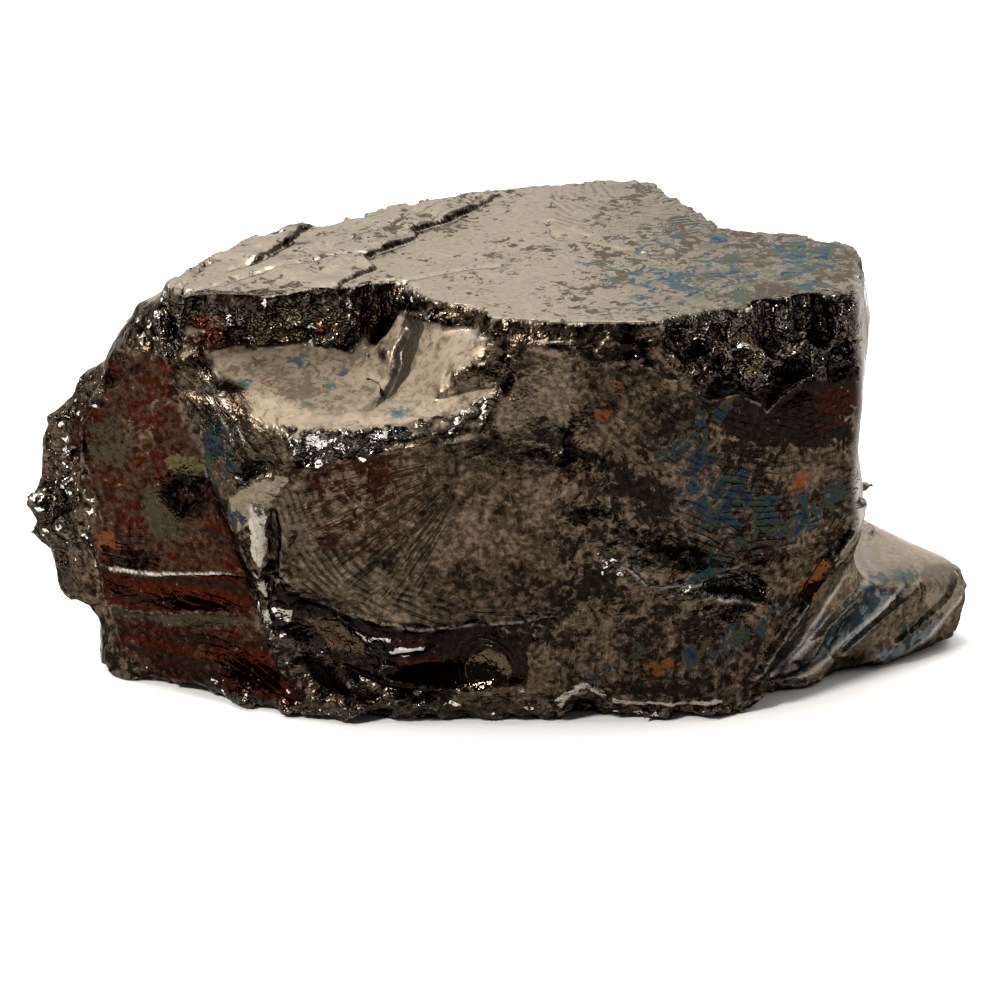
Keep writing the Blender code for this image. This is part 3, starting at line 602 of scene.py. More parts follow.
# %% The flat top and its scarps
TOP_Z, TOP_RISE, TOP_FRONT_Y = 51.5, 0.075, -25.0    # the plane rises a little to the back
TOP_FROM = (47.5, 49.0)    # the heights between which a point comes to belong to the top
TOP_SCARPS = [    # the line, how much higher the ground on its left is, and how far back that fades
    ([(-21, -21), (-18.6, -15.9), (-15.5, -11.6), (-16.5, -7.4), (-13.6, -4), (-10.5, -1.1), (-10.7, 1.7),
      (-8.5, 3.9), (-6.3, 6), (-3.2, 9.7), (-1.3, 12.3), (2.4, 19)], 0.9, 22),
    ([(-30.5, -10.6), (-27.1, -4.7), (-24.8, -0.4), (-22.5, 4.2), (-18.6, 10)], 0.8, 16),
    ([(30, 4), (26.3, -0.4), (23.4, -3.3), (18.4, -5.4), (12.4, -2.2), (9, 4)], -0.3, 30),
]
TOP_OUTLINE = [(-37.8, -22.6), (-29.7, -22.4), (-19.6, -18.8), (-12, -15.5), (-8, -21.5), (-2, -26),
               (8, -25), (20, -25.5), (31, -22.8), (42.8, -19), (44.8, -7), (44, -2.5), (37, 1.3),
               (28, 3), (23, 14.6), (20, 20.6), (17, 22.2), (11.6, 17.8), (1.3, 17.6), (-2.6, 16.8),
               (-12.9, 10), (-25.2, 2.8), (-33.4, -4), (-36.9, -9.8), (-38.9, -17.6)]
MOUND = 2    # the number of the mound's scarp, which is too low to look broken
SCARP_SLOPE = 0.28
EVEN_TIMES = 14
TOP_CRACKS = [    # the line, the depth and the width
    ([(-38, -18.9), (-34, -16.4), (-30.2, -13.3), (-25.4, -10.4), (-20.8, -8.1), (-15.9, -7.1)], 0.45,
      0.35),
    ([(-15.6, -18.3), (-12, -15.4), (-8.5, -13.3), (-4, -11), (0, -9.9)], 0.25, 0.3),
    ([(6, 5.6), (6.1, 2.8), (7, 0.3)], 0.45, 0.4),
    ([(-12.5, 5), (-9.5, 9), (-6.4, 13.2), (-3.8, 16.4)], 0.3, 0.3),
    ([(-10.6, 2.6), (-7.4, 7), (-4.4, 11), (-2, 15)], 0.3, 0.3),
    ([(-20, -4), (-16, 0.6), (-12.5, 5)], 0.25, 0.25),
    ([(-33, -12), (-29, -8.8), (-26, -3)], 0.3, 0.3),
]


def top_surface(points):
    """The exact height of the top over each point, and the distance to the nearest scarp."""
    view = points[:, [0, 1]]
    height_here = TOP_Z + TOP_RISE * (points[:, 1] - TOP_FRONT_Y)
    nearest = np.full(len(points), 9.0)
    for number, (line, height, fade) in enumerate(TOP_SCARPS):
        away, passed = beside_line(bent(view, points, 400 + number * 10, 0.55, 3.0), line)
        up = smooth_step(-SCARP_SLOPE, SCARP_SLOPE, away)
        uneven = (0.75 + 0.6 * wave(points * (1.0, 1.0, 0.0), 3.4, 405 + number)) * tapered(passed, 0.1)
        height_here += height * uneven * up * np.clip(1.0 - away / fade, 0.0, 1.0)
        if number != MOUND:
            nearest = np.minimum(nearest, np.abs(away) / np.clip(uneven, 0.3, 1.0))
    fine = bent(view, points, 440, 0.25, 1.6)
    for line, depth, width in TOP_CRACKS:
        away, _ = beside_line(fine, line)
        height_here -= depth * np.exp(-(away / width) ** 2)
        nearest = np.minimum(nearest, 1.5 * np.abs(away) + 0.24)
    return height_here, nearest


high_up = np.flatnonzero(points[:, 2] > TOP_FROM[0])
top_height, _ = top_surface(points[high_up])
below = top_height - points[high_up, 2]
flatness = smooth_step(0.5, 0.78, normals[high_up, 2]) * smooth_step(1.9, 1.1, np.abs(below))
flatness *= smooth_step(*TOP_FROM, points[high_up, 2])
well_inside = np.zeros(len(points))
well_inside[high_up] = smooth_step(0.6, 1.6, inside(points[high_up][:, [0, 1]], TOP_OUTLINE))
well_inside[high_up] *= smooth_step(4.6, 4.0, np.abs(below))
flatness = np.maximum(flatness, well_inside[high_up])
points[high_up, 2] += flatness * below
points = polish(stone, points, well_inside, EVEN_TIMES)
top_height, _ = top_surface(points[high_up])
points[high_up, 2] += well_inside[high_up] * (top_height - points[high_up, 2])
print("points in the flat top", int((flatness > 0.5).sum()))

# %% [markdown]
# Every sharp edge of a stone like this is nibbled. The points that stand out of their surroundings are
# drawn back by uneven chips, which gives the edges their broken, glinting line.

# %% Chipped edges
CHIP_SIZES = ((3.2, 0.9), (1.5, 0.35))    # the width of a chip and its depth
chips = sum(depth * np.maximum(facets(points, size, 40 + number) + 0.1, 0.0)
            for number, (size, depth) in enumerate(CHIP_SIZES))
sharp = smooth_step(0.06, 0.3, edge_bulge) * (1 - well_inside)
points -= normals * (chips * sharp)[:, None]
print("points on an edge", int((edge_bulge > 0.15).sum()))

# %% [markdown]
# The base has to stay flat and the whole skin has to stay inside the solid's box, so anything that a
# stroke pushed past the box is drawn back gently. The back and the underside are then thinned.

# %% Keep to the box and thin the back
ROOM = 0.5    # millimetres over which a point is drawn back
MOST_TRIANGLES = 190000
low, high = (np.array(corner) / MM - GRID_SHIFT for corner in cad_box)
for axis in range(3):
    over = points[:, axis] - (high[axis] - ROOM)
    points[:, axis] -= np.where(over > 0, over - ROOM * np.tanh(over / ROOM), 0.0)
    if axis < 2:
        under = (low[axis] + ROOM) - points[:, axis]
        points[:, axis] += np.where(under > 0, under - ROOM * np.tanh(under / ROOM), 0.0)
points[:, 2] = np.maximum(points[:, 2], 0.0)
write_points(stone, points)

out_of_sight = stone.vertex_groups.new(name="out of sight")
hidden_share = smooth_step(-0.1, 0.5, normals[:, 1] - normals[:, 2] * 0.6) * (points[:, 2] < 50)
for level in (0.25, 0.5, 0.75, 1.0):
    chosen = np.flatnonzero((hidden_share > level - 0.25) & (hidden_share <= level))
    out_of_sight.add(chosen.tolist(), level, "REPLACE")
thin = stone.modifiers.new("thin", "DECIMATE")
thin.vertex_group = out_of_sight.name
thin.ratio = min(1.0, MOST_TRIANGLES / (2 * len(stone.data.polygons)))
apply_all(stone)
write_points(stone, np.clip(read_points(stone), (*low[:2], 0.0), high))
triangles = sum(len(polygon.vertices) - 2 for polygon in stone.data.polygons)
print("faces", len(stone.data.polygons), "triangles", triangles)
# %% [markdown]
# What is only colour or very fine relief goes into the material. It needs to know where it is on the
# stone, so each point carries a few plain numbers: how far it is inside a zone, how stained, how worn.

# %% Stains
STAIN_SPREAD, TOP_BLUE_SHARE = 1.5, 0.62
# Each stain is a place, its radius and its strength.
BLUE_FRONT = [(-34.3, 35.4, 2, 1), (-33.2, 32.2, 1.6, 0.9), (-31.6, 26.4, 1, 0.9), (20.2, 36, 1.6, 0.9),
              (22.6, 36.7, 1.6, 1), (23.8, 33.5, 2.2, 0.8), (25.5, 40.5, 2.2, 0.8), (24, 29, 2.4, 0.9),
              (28.9, 27.7, 2.4, 1), (31.3, 25.1, 2.6, 1), (36.2, 24.5, 2.2, 0.9), (26.4, 26, 2, 0.8),
              (40.6, 26, 1.8, 0.7), (25.6, 19.6, 2.4, 0.7), (16, 22, 1.4, 0.5), (12.1, 6.8, 1.6, 0.6),
              (17, 9.5, 1.6, 0.6), (24.2, 8.8, 1.8, 0.7), (28.4, 10.2, 1.6, 0.6), (34.8, 6.3, 1.8, 0.9),
              (37.3, 3.6, 2.2, 0.8), (42.2, 8, 2.4, 0.9), (47, 10.6, 2, 0.9), (50.6, 10.6, 1.6, 1),
              (51, 2.4, 2.6, 0.8), (33, 11.6, 1.6, 0.7)]
BLUE_TOP = [(12.2, -9.4, 2.6, 0.9), (16.9, -13.3, 3.6, 1), (22.8, -15.6, 4.2, 1), (29.1, -11.6, 4.4, 1),
            (18.9, -21.8, 3, 0.8), (34.4, -6.4, 3.6, 0.9), (36.9, -11, 3.6, 0.9), (40.9, -5.1, 2.6, 0.9),
            (25, 1, 3.6, 0.8), (20, -4, 3.6, 0.7), (29, -19, 3, 0.8), (36, -3, 2.4, 1), (37, -17, 3, 0.8),
            (26, -6, 3.4, 0.9)]
BLUE_LEDGE = [(-24.1, -18.9, 1, 0.8), (-19.2, -20, 0.8, 0.8), (-22.5, -26.5, 0.8, 0.7),
              (-11.8, -29.1, 0.8, 0.7), (-14.2, -26.4, 0.8, 0.6), (-31, -23, 1.2, 0.6),
              (-20.4, -23, 0.6, 0.7)]
RUST_FRONT = [(-36, 47.4, 1.6, 0.8), (12, 40.6, 0.8, 1), (35.6, 27, 1, 0.9), (36.8, 29.5, 1.2, 0.6),
              (18.2, 7.1, 0.9, 0.9), (37.6, 14.6, 1.2, 1), (39.4, 16.6, 0.9, 1), (-48.6, 18, 1.2, 0.9),
              (14, 43.6, 0.8, 0.6), (20.4, 7.9, 0.7, 0.8), (-22, 46.6, 1.4, 0.6)]
RUST_LEDGE = [(-32.1, -16.9, 1, 0.6), (-28.7, -18.9, 1, 0.6), (-27.9, -23.5, 0.7, 0.7),
              (-2.5, -20, 0.5, 0.9)]
TAN_FRONT = [(-26, 46, 3, 0.8), (-17, 45.6, 3.4, 0.8), (-10, 46.4, 2.4, 0.6), (52, 13, 4, 0.4),
             (-44, 33.5, 2, 0.5), (-41, 37, 1.8, 0.4), (30, 46, 4, 0.6), (22, 44.6, 2.6, 0.5)]


def spots(view, table):
    """The strongest of several round stains at each place."""
    total = np.zeros(len(view))
    for x, y, radius, strength in table:
        share = ((view[:, 0] - x) ** 2 + (view[:, 1] - y) ** 2) / (radius * STAIN_SPREAD) ** 2
        total = np.maximum(total, strength * np.exp(-share))
    return total


def store(piece, name, values):
    kind, field = ("FLOAT_VECTOR", "vector") if values.ndim == 2 else ("FLOAT", "value")
    layer = piece.data.attributes.new(name, kind, "POINT")
    layer.data.foreach_set(field, values.astype(np.float32).ravel())


points = read_points(stone)
normals = read_normals(stone)
front_view, top_view = points[:, [0, 2]], points[:, [0, 1]]
facing_front = smooth_step(0.0, 0.4, -normals[:, 1])
facing_up = smooth_step(0.5, 0.85, normals[:, 2])
on_top = facing_up * smooth_step(*TOP_FROM, points[:, 2])
on_ledge = ledge_amount(points, normals)
on_foot = foot_amount(points, facing_up)
front = facing_front * (1 - np.maximum(on_top, on_ledge))
ragged_front = bent(front_view, points, 500, 0.5, 2.2)

store(stone, "top", on_top)
store(stone, "ledge", np.maximum(on_ledge, on_foot))
store(stone, "foot", on_foot)
blue_front = spots(front_view, BLUE_FRONT) * front
blue_above = TOP_BLUE_SHARE * spots(top_view, BLUE_TOP) * on_top + spots(top_view, BLUE_LEDGE) * on_ledge
store(stone, "blue", blue_front + blue_above)
store(stone, "rust", spots(front_view, RUST_FRONT) * front + spots(top_view, RUST_LEDGE) * on_ledge)
store(stone, "tan", spots(front_view, TAN_FRONT) * front)
print("stained points", int((blue_front > 0.5).sum()))

# %% [markdown]
# The film that dulls an old face is thicker on some fractures than on others, because they are not the
# same age. Red glass is where the carbon is thin enough for light to come back from inside.

# %% Film, red glass and painted glints
FILM_ZONES = [    # the outline, how much more film it keeps than the rest, and how soft its border is
    (PLATE, 0.12, 0.3),
    (SHELL, 0.055, 1),
    (PROW, 0.07, 0.4),
    (FIN, 0.2, 0.3),
    (LOW_BAND, 0.01, 1),
    ([(8.8, 47.9), (22.3, 47.9), (22.4, 41.7), (17.8, 36.7), (11.9, 35.5), (7.1, 35.7), (8.5, 41.7)],
      0.045, 0.8),
    ([(33.1, 34.3), (43.4, 33.3), (43.9, 24), (40, 26.6), (35, 30.5)], 0.04, 0.8),
    ([(23, 24.4), (31.5, 23.1), (40.6, 23.1), (40.1, 19.2), (36.6, 15.3), (30.4, 17.9), (24.3, 21.8)],
      0.04, 0.8),
    ([(-26.2, 24.8), (-24.5, 23.2), (-23.1, 20), (-19.3, 16.7), (-13.8, 14.4), (-9.6, 13.1), (-9.6, 18),
      (-15.5, 21.2), (-19.2, 27.2), (-22.9, 32.7), (-25.9, 31.2), (-27.4, 28.3)], 0.05, 0.5),
    ([(-22.9, 32.1), (-20.9, 35.2), (-16.5, 36.6), (-11.8, 36), (-13.6, 29.7), (-17.9, 25.9),
      (-20.9, 22.1), (-22.4, 25.9)], -0.07, 1),
    (UNDERCUT, -0.35, 0.4),
    (FLANK, 0.012, 1),
    ([(-50.6, 15.3), (-48, 15.2), (-32.8, 16.8), (-30.4, 14.3), (-30.7, 11.7), (-44.8, 10.4),
      (-49.8, 10.3)], -0.3, 0.3),
    ([(-49.3, 9.5), (-30.8, 10.9), (-27.4, 8.2), (-23.6, 2.5), (-32.1, 0), (-39.8, 0.3), (-43.6, 3.5),
      (-47.5, 5.3)], -0.06, 0.6),
    ([(-40, 40), (-38.4, 35), (-41, 33), (-47, 36), (-44, 42)], -0.02, 1),
    ([(25, 43), (43.2, 44.5), (44.1, 31.8), (36.1, 33.4), (32.4, 34.6), (27.5, 36.4)], -0.12, 1.4),
    ([(14, 36.6), (19, 36.6), (23, 29), (16.8, 23.1), (13, 25.7), (12.3, 31.3)], -0.01, 1),
    ([(23.9, 17.4), (29.6, 18.4), (32.5, 15.2), (31.7, 14.7), (24.8, 16.2)], -0.4, 0.2),
    ([(36.6, 11.9), (36.8, 13.2), (39.4, 16.4), (40.5, 19), (39.9, 15.6), (37.8, 12.3)], -0.3, 0.2),
    ([(33, 10), (44.4, 20), (46.6, 13), (58, 8), (58, 1), (40, 0), (32, 1)], 0.1, 1),
]
RED_ZONES = [
    (FLANK, 1),
    ([(-25, 35), (-24, 26), (-18, 21.5), (-9.5, 27), (-9, 36.2), (-17.7, 36)], 0.55),
    ([(-29.6, 24), (-26.6, 24), (-26, 17), (-29.2, 17)], 1),
    ([(24.8, 16.3), (32.5, 15.2), (31.7, 14.7)], 0.8),
    ([(-12, 11), (-7, 10.6), (-8, 7), (-13, 7.6)], 0.6),
    ([(38, 40), (43.6, 40), (43.6, 35.4), (38, 35.4)], 0.5),
    ([(-36, 51), (-27, 51), (-27, 46), (-37, 45.6)], 0.5),
    ([(-56.6, 15), (-51, 15), (-51, 8), (-56.6, 8)], 0.7),
]
BACK_FILM = 0.03     # the back was never polished by handling, so it keeps a little more film
PAINTED_GLINT_ZONES = [    # outlines seen from the front, and how many of their crumbs get a painted glint
    (RIM_BAND, 1),
    ([(-42, 50.6), (-36, 50.6), (-36, 46.4), (-44, 44)], 0.8),
    ([(-36, 51), (-6, 51), (-8, 43.6), (-34, 44.2)], 0.35),
    ([(-62, 44), (-48.5, 44), (-50, 32), (-51, 14), (-62, 12)], 0.22),
    ([(-59, 23.5), (-50, 24), (-50, 15), (-59, 15)], 0.6),
    ([(11, 23.6), (14.4, 21.2), (19, 17.8), (25, 18.2), (27, 16.8), (22, 16.4), (12, 20.8)], 0.6),
    (PITTED, 0.25),
    ([(-30, 19), (-27, 17), (-25, 11), (-20, 7), (-26, 7), (-30.4, 14)], 0.5),
    ([(-46, 3), (-24, 4), (0, 5), (20, 3.4), (32, 1.6), (32, -2), (-46, -2)], 0.3),
]

film_shift = BACK_FILM * (1 - front) * (1 - on_top)
for outline, amount, border in FILM_ZONES:
    film_shift += amount * smooth_step(-border, border, inside(ragged_front, outline)) * front
store(stone, "film shift", film_shift)
red = strongest(RED_ZONES, ragged_front, front, -0.6, 0.6)
store(stone, "red", red)
store(stone, "flank", smooth_step(-0.3, 0.3, inside(front_view, FLANK)) * front)
# Where crumbs get painted glints.
store(stone, "painted_glint_share", strongest(PAINTED_GLINT_ZONES, ragged_front, 1 - np.maximum(on_top, on_ledge), -1.0, 1.0))
store(stone, "crumbled", crumbled_amount(points, normals))
# Over a short reach, the bulge lightens sharp edges in the colour, as wear and as a painted highlight.
store(stone, "fine bulge", bulge(stone, points, normals, 4))
# Over a wide reach, the bulge darkens hollows in the colour with painted shade.
store(stone, "broad bulge", bulge(stone, points, normals, 40))
smooth_faces = [(outline, 1.0) for outline in GLASSY if outline not in (PROW, LOW_BAND)]
smooth_share = strongest(smooth_faces, front_view, front, -0.5, 1.0)
store(stone, "smooth", np.max([smooth_share, on_ledge, on_foot], axis=0))
high_up = np.flatnonzero(points[:, 2] > TOP_FROM[0])
_, scarp_distance = top_surface(points[high_up])
scarp = np.zeros(len(points))
scarp[high_up] = smooth_step(0.5, 0.15, scarp_distance) * smooth_step(*TOP_FROM, points[high_up, 2])
store(stone, "scarp", scarp)
print("red points", int((red > 0.5).sum()))

# %% [markdown]
# Some marks have a shape of their own: chips of ash-grey stone, a pale fin, an olive crust, painted shade
# in the dark crescents on the ledge and in a hollow of the prow, and painted highlights on the undercut and
# along the rim. Each is an outline with its own colour, and a few pale lines run along edges; two of them
# are painted highlights.

# %% Marks and pale lines
ASH, ASH_BROWN = (0.24, 0.215, 0.18), (0.115, 0.092, 0.066)
OLIVE, CRUST = (0.047, 0.039, 0.016), (0.026, 0.020, 0.013)
# The first colour here is painted shade, for a hollow of the prow.
PROW_HOLLOW_SHADE, STEEL, RING_BROWN = (0.004, 0.003, 0.002), (0.075, 0.084, 0.092), (0.045, 0.030, 0.018)
# The first colour here is painted shade for the crescents on the ledge, and the second a painted highlight.
CRESCENT_SHADE, PAINTED_HIGHLIGHT = (0.030, 0.022, 0.015), (0.40, 0.38, 0.35)
WALL_TAN, WALL_RED = (0.075, 0.052, 0.028), (0.055, 0.015, 0.007)
MARKS_FRONT = [    # the outline, the colour, how much it covers and how soft its border is
    (FIN, ASH_BROWN, 1, 0.35),
    ([(-29.3, 29.2), (-27.7, 27.6), (-27.8, 25.2), (-28.7, 20.7), (-29.6, 21.6), (-29.9, 26)], ASH, 1,
      0.35),
    ([(-30.3, 19.6), (-29.1, 19.2), (-27.7, 16.3), (-28.1, 14.4), (-29.5, 17.3)], ASH, 0.7, 0.6),
    ([(-29.3, 13.9), (-25.4, 13.9), (-25.1, 12.7), (-26.7, 11.2), (-29.4, 12.7)], ASH, 0.8, 0.5),
    ([(-41.3, 30), (-39, 31.6), (-36.2, 30.5), (-34.6, 28.5), (-38.7, 27.7)], OLIVE, 0.75, 1.4),
    ([(-44.2, 27), (-39.1, 27.2), (-37.9, 24.2), (-38.4, 19.9), (-42.9, 19.4), (-44.8, 21.9)], CRUST,
      0.62, 2.2),
    ([(-49.8, 11.2), (-44.8, 11), (-38.2, 11.8), (-30.8, 12.2), (-30.8, 10.2), (-38, 9), (-49.8, 9)],
      CRUST, 0.6, 0.8),
    ([(-52, 34), (-46, 36), (-43, 32), (-46, 27), (-51, 28)], CRUST, 0.5, 2.2),
    # Painted shade in the hollow of the prow.
    ([(-31.3, 33), (-30.3, 34.1), (-27.4, 34), (-29.3, 32.4), (-31.4, 30.6)], PROW_HOLLOW_SHADE, 1, 0.35),
    (RING, RING_BROWN, 0.6, 1),
    ([(-24.3, 8), (-18.3, 4.4), (-8.5, 3), (4.9, 3.4), (4.6, 1.4), (-8, 1), (-20, 2.4), (-25, 5.4)],
      CRUST, 0.5, 1.4),
    ([(44.8, 22.5), (44.4, 19.9), (42.4, 17.3), (40.8, 16.6), (42.9, 21.2)], ASH_BROWN, 0.8, 0.35),
    ([(44.9, 21.2), (46.1, 16.9), (46, 13), (43.3, 13), (42.5, 16.9), (44.5, 18.9)], ASH_BROWN, 0.6, 0.5),
    ([(37.4, 3.2), (42.2, 8.6), (47.1, 11.2), (49.6, 10.6), (44.9, 4.5)], STEEL, 0.75, 1.2),
    ([(46.7, 2.1), (55.5, 4.8), (56.8, 3.4), (49.3, 0)], STEEL, 0.75, 1),
    ([(53.1, 11.4), (58.1, 12), (59.4, 7.3), (56.5, 4.6), (53.9, 7.3)], ASH_BROWN, 0.75, 0.8),
    ([(-4.6, 7.3), (-3.1, 9), (-1, 9.7), (0.7, 9), (1.5, 6.8), (0.6, 4.4), (-2.4, 3.9), (-4.3, 4.9)],
      RING_BROWN, 0.9, 0.6),
    # Painted highlights on the undercut.
    ([(-13.9, 9.4), (-12.1, 10), (-8.5, 10.3), (-9.1, 9.5), (-11.5, 8.7)], PAINTED_HIGHLIGHT, 0.9, 0.3),
    ([(-17.9, 11.5), (-15.5, 11.1), (-13.1, 11.5), (-13.3, 11), (-15.7, 10.4)], PAINTED_HIGHLIGHT, 0.7, 0.25),
    # Painted highlights along the rim band.
    ([(-23.2, 37.6), (-22.2, 38.6), (-20.2, 38.2), (-19.4, 37.2), (-21, 36.2), (-22.6, 36.6)], PAINTED_HIGHLIGHT, 0.7,
      0.8),
    ([(-16.2, 38), (-14.6, 38.9), (-12.4, 39), (-12.8, 38.1), (-14.8, 37.4)], PAINTED_HIGHLIGHT, 0.7, 0.6),
    ([(-7, 40.6), (-4.4, 41.6), (-1, 43), (-0.6, 42.4), (-3.8, 40.8), (-6.4, 39.9)], PAINTED_HIGHLIGHT, 0.6, 0.5),
    ([(-32.1, 46.3), (-25.5, 46.9), (-20.6, 45.7), (-21.9, 43.1), (-31.6, 42.8)], WALL_TAN, 0.55, 1.6),
    ([(-38.2, 48.2), (-32.7, 49.5), (-33.4, 44.4), (-37.7, 43.7)], WALL_RED, 0.6, 1.4),
    ([(-19, 48.6), (-13.5, 49.2), (-12.6, 46.4), (-17.6, 45.6)], WALL_RED, 0.55, 1.2),
    ([(13.4, 3), (19.5, 2.6), (26.9, 2.9), (27.1, 2.2), (18.3, 2.1), (13.7, 2.5)], ASH, 0.7, 0.3),
    ([(6.3, 2.7), (7.9, 4.3), (9.7, 5.3), (11.9, 5.3), (13.4, 3.5), (12.2, 4), (10.3, 4.5), (8.5, 3.6),
      (7.3, 2.3)], ASH, 0.7, 0.3),
]
# Painted shade in the two crescent hollows on the ledge.
MARKS_LEDGE = [
    ([(-15.4, -28.2), (-11.9, -24.4), (-8.4, -21.3), (-5.5, -14.7), (-4.1, -5.4), (-4.6, -1.7),
      (-6, -3.3), (-6.5, -9.5), (-9.1, -15.5), (-12.6, -20.9)], CRESCENT_SHADE, 0.95, 0.5),
    ([(-17.9, -16), (-15.7, -15.6), (-13.6, -7.1), (-13.1, -3), (-16, -7.6)], CRESCENT_SHADE, 0.95, 0.5),
]
PALE_AND_HIGHLIGHT_LINES = [    # the line, its width and how pale it is; the first and the last are painted highlights
    ([(-48, 15.3), (-43.2, 15.7), (-38, 16.4), (-32.6, 17.2)], 0.15, 1),
    ([(-35.9, 42), (-33.6, 39.4), (-31.6, 35.8)], 0.12, 0.3),
    ([(-34.6, 42.6), (-32.2, 39.6), (-30.2, 36)], 0.12, 0.4),
    ([(44.5, 17.3), (40.7, 12), (37.2, 6.7), (33.5, 2.7)], 0.3, 0.5),
    ([(50.4, 10.4), (46.2, 7.1), (40.1, 3), (36.4, 1)], 0.35, 0.5),
    ([(58.8, 6.7), (54.5, 2.6), (48.3, 0.2)], 0.3, 0.45),
    ([(47.6, 14.4), (44, 11.4), (40, 8.6), (36, 4)], 0.3, 0.5),
    ([(14.4, 21.2), (18.3, 18), (22.8, 18), (24.6, 17.6)], 0.15, 0.35),
    ([(24.8, 15.7), (29, 14.7), (32, 14.2)], 0.15, 0.5),
    ([(-24.6, 17.6), (-18, 13.8), (-9.6, 12.4), (-3, 12.4)], 0.12, 0.2),
]
PALE_EDGE = [(43.3, 51.3), (44.1, 43.7), (44.4, 37.4), (44, 32), (43.9, 27), (44.6, 21.8)]
PALE_EDGE_WIDTH, PALE_EDGE_BACK, LEAST_SHARE = 0.7, 2.0, 0.02

mark_share, mark_colour = np.zeros(len(points)), np.zeros((len(points), 3))
ragged_top = bent(top_view, points, 510, 0.4, 2.2)
for view, facing, table in ((ragged_front, front, MARKS_FRONT), (ragged_top, on_ledge, MARKS_LEDGE)):
    for outline, colour, strength, border in table:
        share = strength * facing * smooth_step(-border, border, inside(view, outline))
        mark_colour[share > LEAST_SHARE] = colour
        mark_share = np.maximum(mark_share, share)
store(stone, "mark share", mark_share)
store(stone, "mark colour", mark_colour)
pale_and_highlight_lines = np.zeros(len(points))
fine_front = bent(front_view, points, 320, 0.25, 2.0)
for line, width, amount in PALE_AND_HIGHLIGHT_LINES:
    away, _ = beside_line(fine_front, line)
    pale_and_highlight_lines = np.maximum(pale_and_highlight_lines, amount * np.exp(-(away / width) ** 2))
away, _ = beside_line(front_view, PALE_EDGE)
pale_edge = 0.7 * np.exp(-(away / PALE_EDGE_WIDTH) ** 2) * (points[:, 1] < PALE_EDGE_BACK)
# Pale lines and the pale edge; two of the lines are painted highlights.
store(stone, "pale line", np.maximum(pale_and_highlight_lines * front, pale_edge))
print("marked points", int((mark_share > 0.3).sum()))

# %% [markdown]
# Curved ripples and fanning hackles are the marks of a fracture that ran through glass. Each point stores
# which line it is on, counted outwards from the start of the fracture: one unit is one line.

# %% Ripples and hackles
RIPPLES = [    # the side, outline, centre, spacing, strength and the two radii between which it shows
    ("front", SHELL, (0, 37.3), 1, 0.8, 20, 36),
    ("front", RIGHT_FACE, (35, 52), 0.85, 0.42, 13, 34),
    ("front", [(-7.3, 4.4), (-7.7, 9.7), (-4.6, 12.5), (0.6, 12.5), (2.8, 10.3), (2.4, 5.7)], (-1.6, 7.3),
      0.75, 1, 1.4, 6),
    ("front", FLANK, (-45, -24), 1, 0.25, 20, 48),
    ("above", [(6, 4), (12, -3), (30, -3), (30, 22), (6, 22)], (18.5, 17.5), 1.1, 0.4, 3, 19),
]
HACKLES = [    # as above, but the lines fan out from the centre and are spaced in degrees
    ("front", [(-28.5, 21.7), (-27.7, 26.8), (-25.5, 31.9), (-21.3, 34.4), (-11.8, 36.9), (-4.4, 37.6),
      (-5, 28), (-8, 17), (-14, 14.6), (-23.4, 16.3)], (-1, 36.6), 1.9, 1, 6, 27),
    ("front", PROW, (-60, 62), 1.2, 1, 0, 90),
    ("front", LOW_BAND, (18, 160), 0.25, 0.6, 0, 400),
    ("front", [(-48, 10), (-33, 10.6), (-36, 4), (-46, 5)], (-26, 30), 1.3, 0.9, 0, 400),
    ("front", RIGHT_FACE, (-20, 60), 0.8, 0.25, 0, 400),
    ("front", RING, (-16, 2), 6, 0.8,
      0, 40),
]

def lines_of(table, border, fade_in, fade_out, count):
    """Which line each point is on, and how strongly the lines show there."""
    places, strengths = np.zeros((len(points), 3)), np.zeros(len(points))
    for number, (side, outline, centre, spacing, strength, near, far) in enumerate(table):
        view, facing = (front_view, front) if side == "front" else (top_view, on_top)
        across, up = view[:, 0] - centre[0], view[:, 1] - centre[1]
        radius, angle = np.hypot(across, up), np.arctan2(up, across)
        here = strength * facing * smooth_step(0.0, border, inside(view, outline))
        here *= smooth_step(near, near + fade_in, radius) * smooth_step(far, far - fade_out, radius)
        chosen = here > strengths
        counted = (*count(radius, angle, spacing), np.full(len(points), number * 9.0))
        places[chosen] = np.stack(counted, axis=1)[chosen]
        strengths = np.maximum(strengths, here)
    return places, strengths


def along_ripples(radius, angle, spacing):
    return radius / spacing, angle * 3.0


def along_hackles(radius, angle, spacing):
    return np.degrees(angle) % 360.0 / spacing, radius * 0.12


for name, values in (("ripple", lines_of(RIPPLES, 1.5, 2.0, 3.0, along_ripples)),
                     ("hackle", lines_of(HACKLES, 2.5, 3.0, 5.0, along_hackles))):
    store(stone, name + "s", values[0])
    store(stone, name + " strength", values[1])
print("attributes", [layer.name for layer in stone.data.attributes if not layer.name.startswith(".")])

# %% [markdown]
# One material covers the stone. Fresh shungite is black glass with a metal shine. A thin grey-brown film
# dulls its old faces, and breaks up into islands where it has worn off. Thin films of iron salts stain it
# blue, teal, rust and tan. So the film and the stains are masks, and each mask is worked out from others.
# Here a mask can be added to, multiplied or spread like a number, and each of these adds one node.

# %% Masks as numbers
METRE = 1000.0    # in millimetres: the size of a noise that is read from stored numbers, not from places


def plug(socket, value):
    """Links a value to the socket, or sets the socket to a number or a colour."""
    if isinstance(value, Value):
        socket.id_data.links.new(value.socket, socket)
    else:
        socket.default_value = (*value, 1.0) if socket.type == "RGBA" else value


def add(tree, kind, inputs=None, output=0, **settings):
    """Adds a node, fills its inputs, and gives back one of its outputs."""
    node = tree.nodes.new("ShaderNode" + kind)
    for name, setting in settings.items():
        setattr(node, name, setting)
    for name, value in (inputs or {}).items():
        plug(node.inputs[name], value)
    return Value(node.outputs[output])


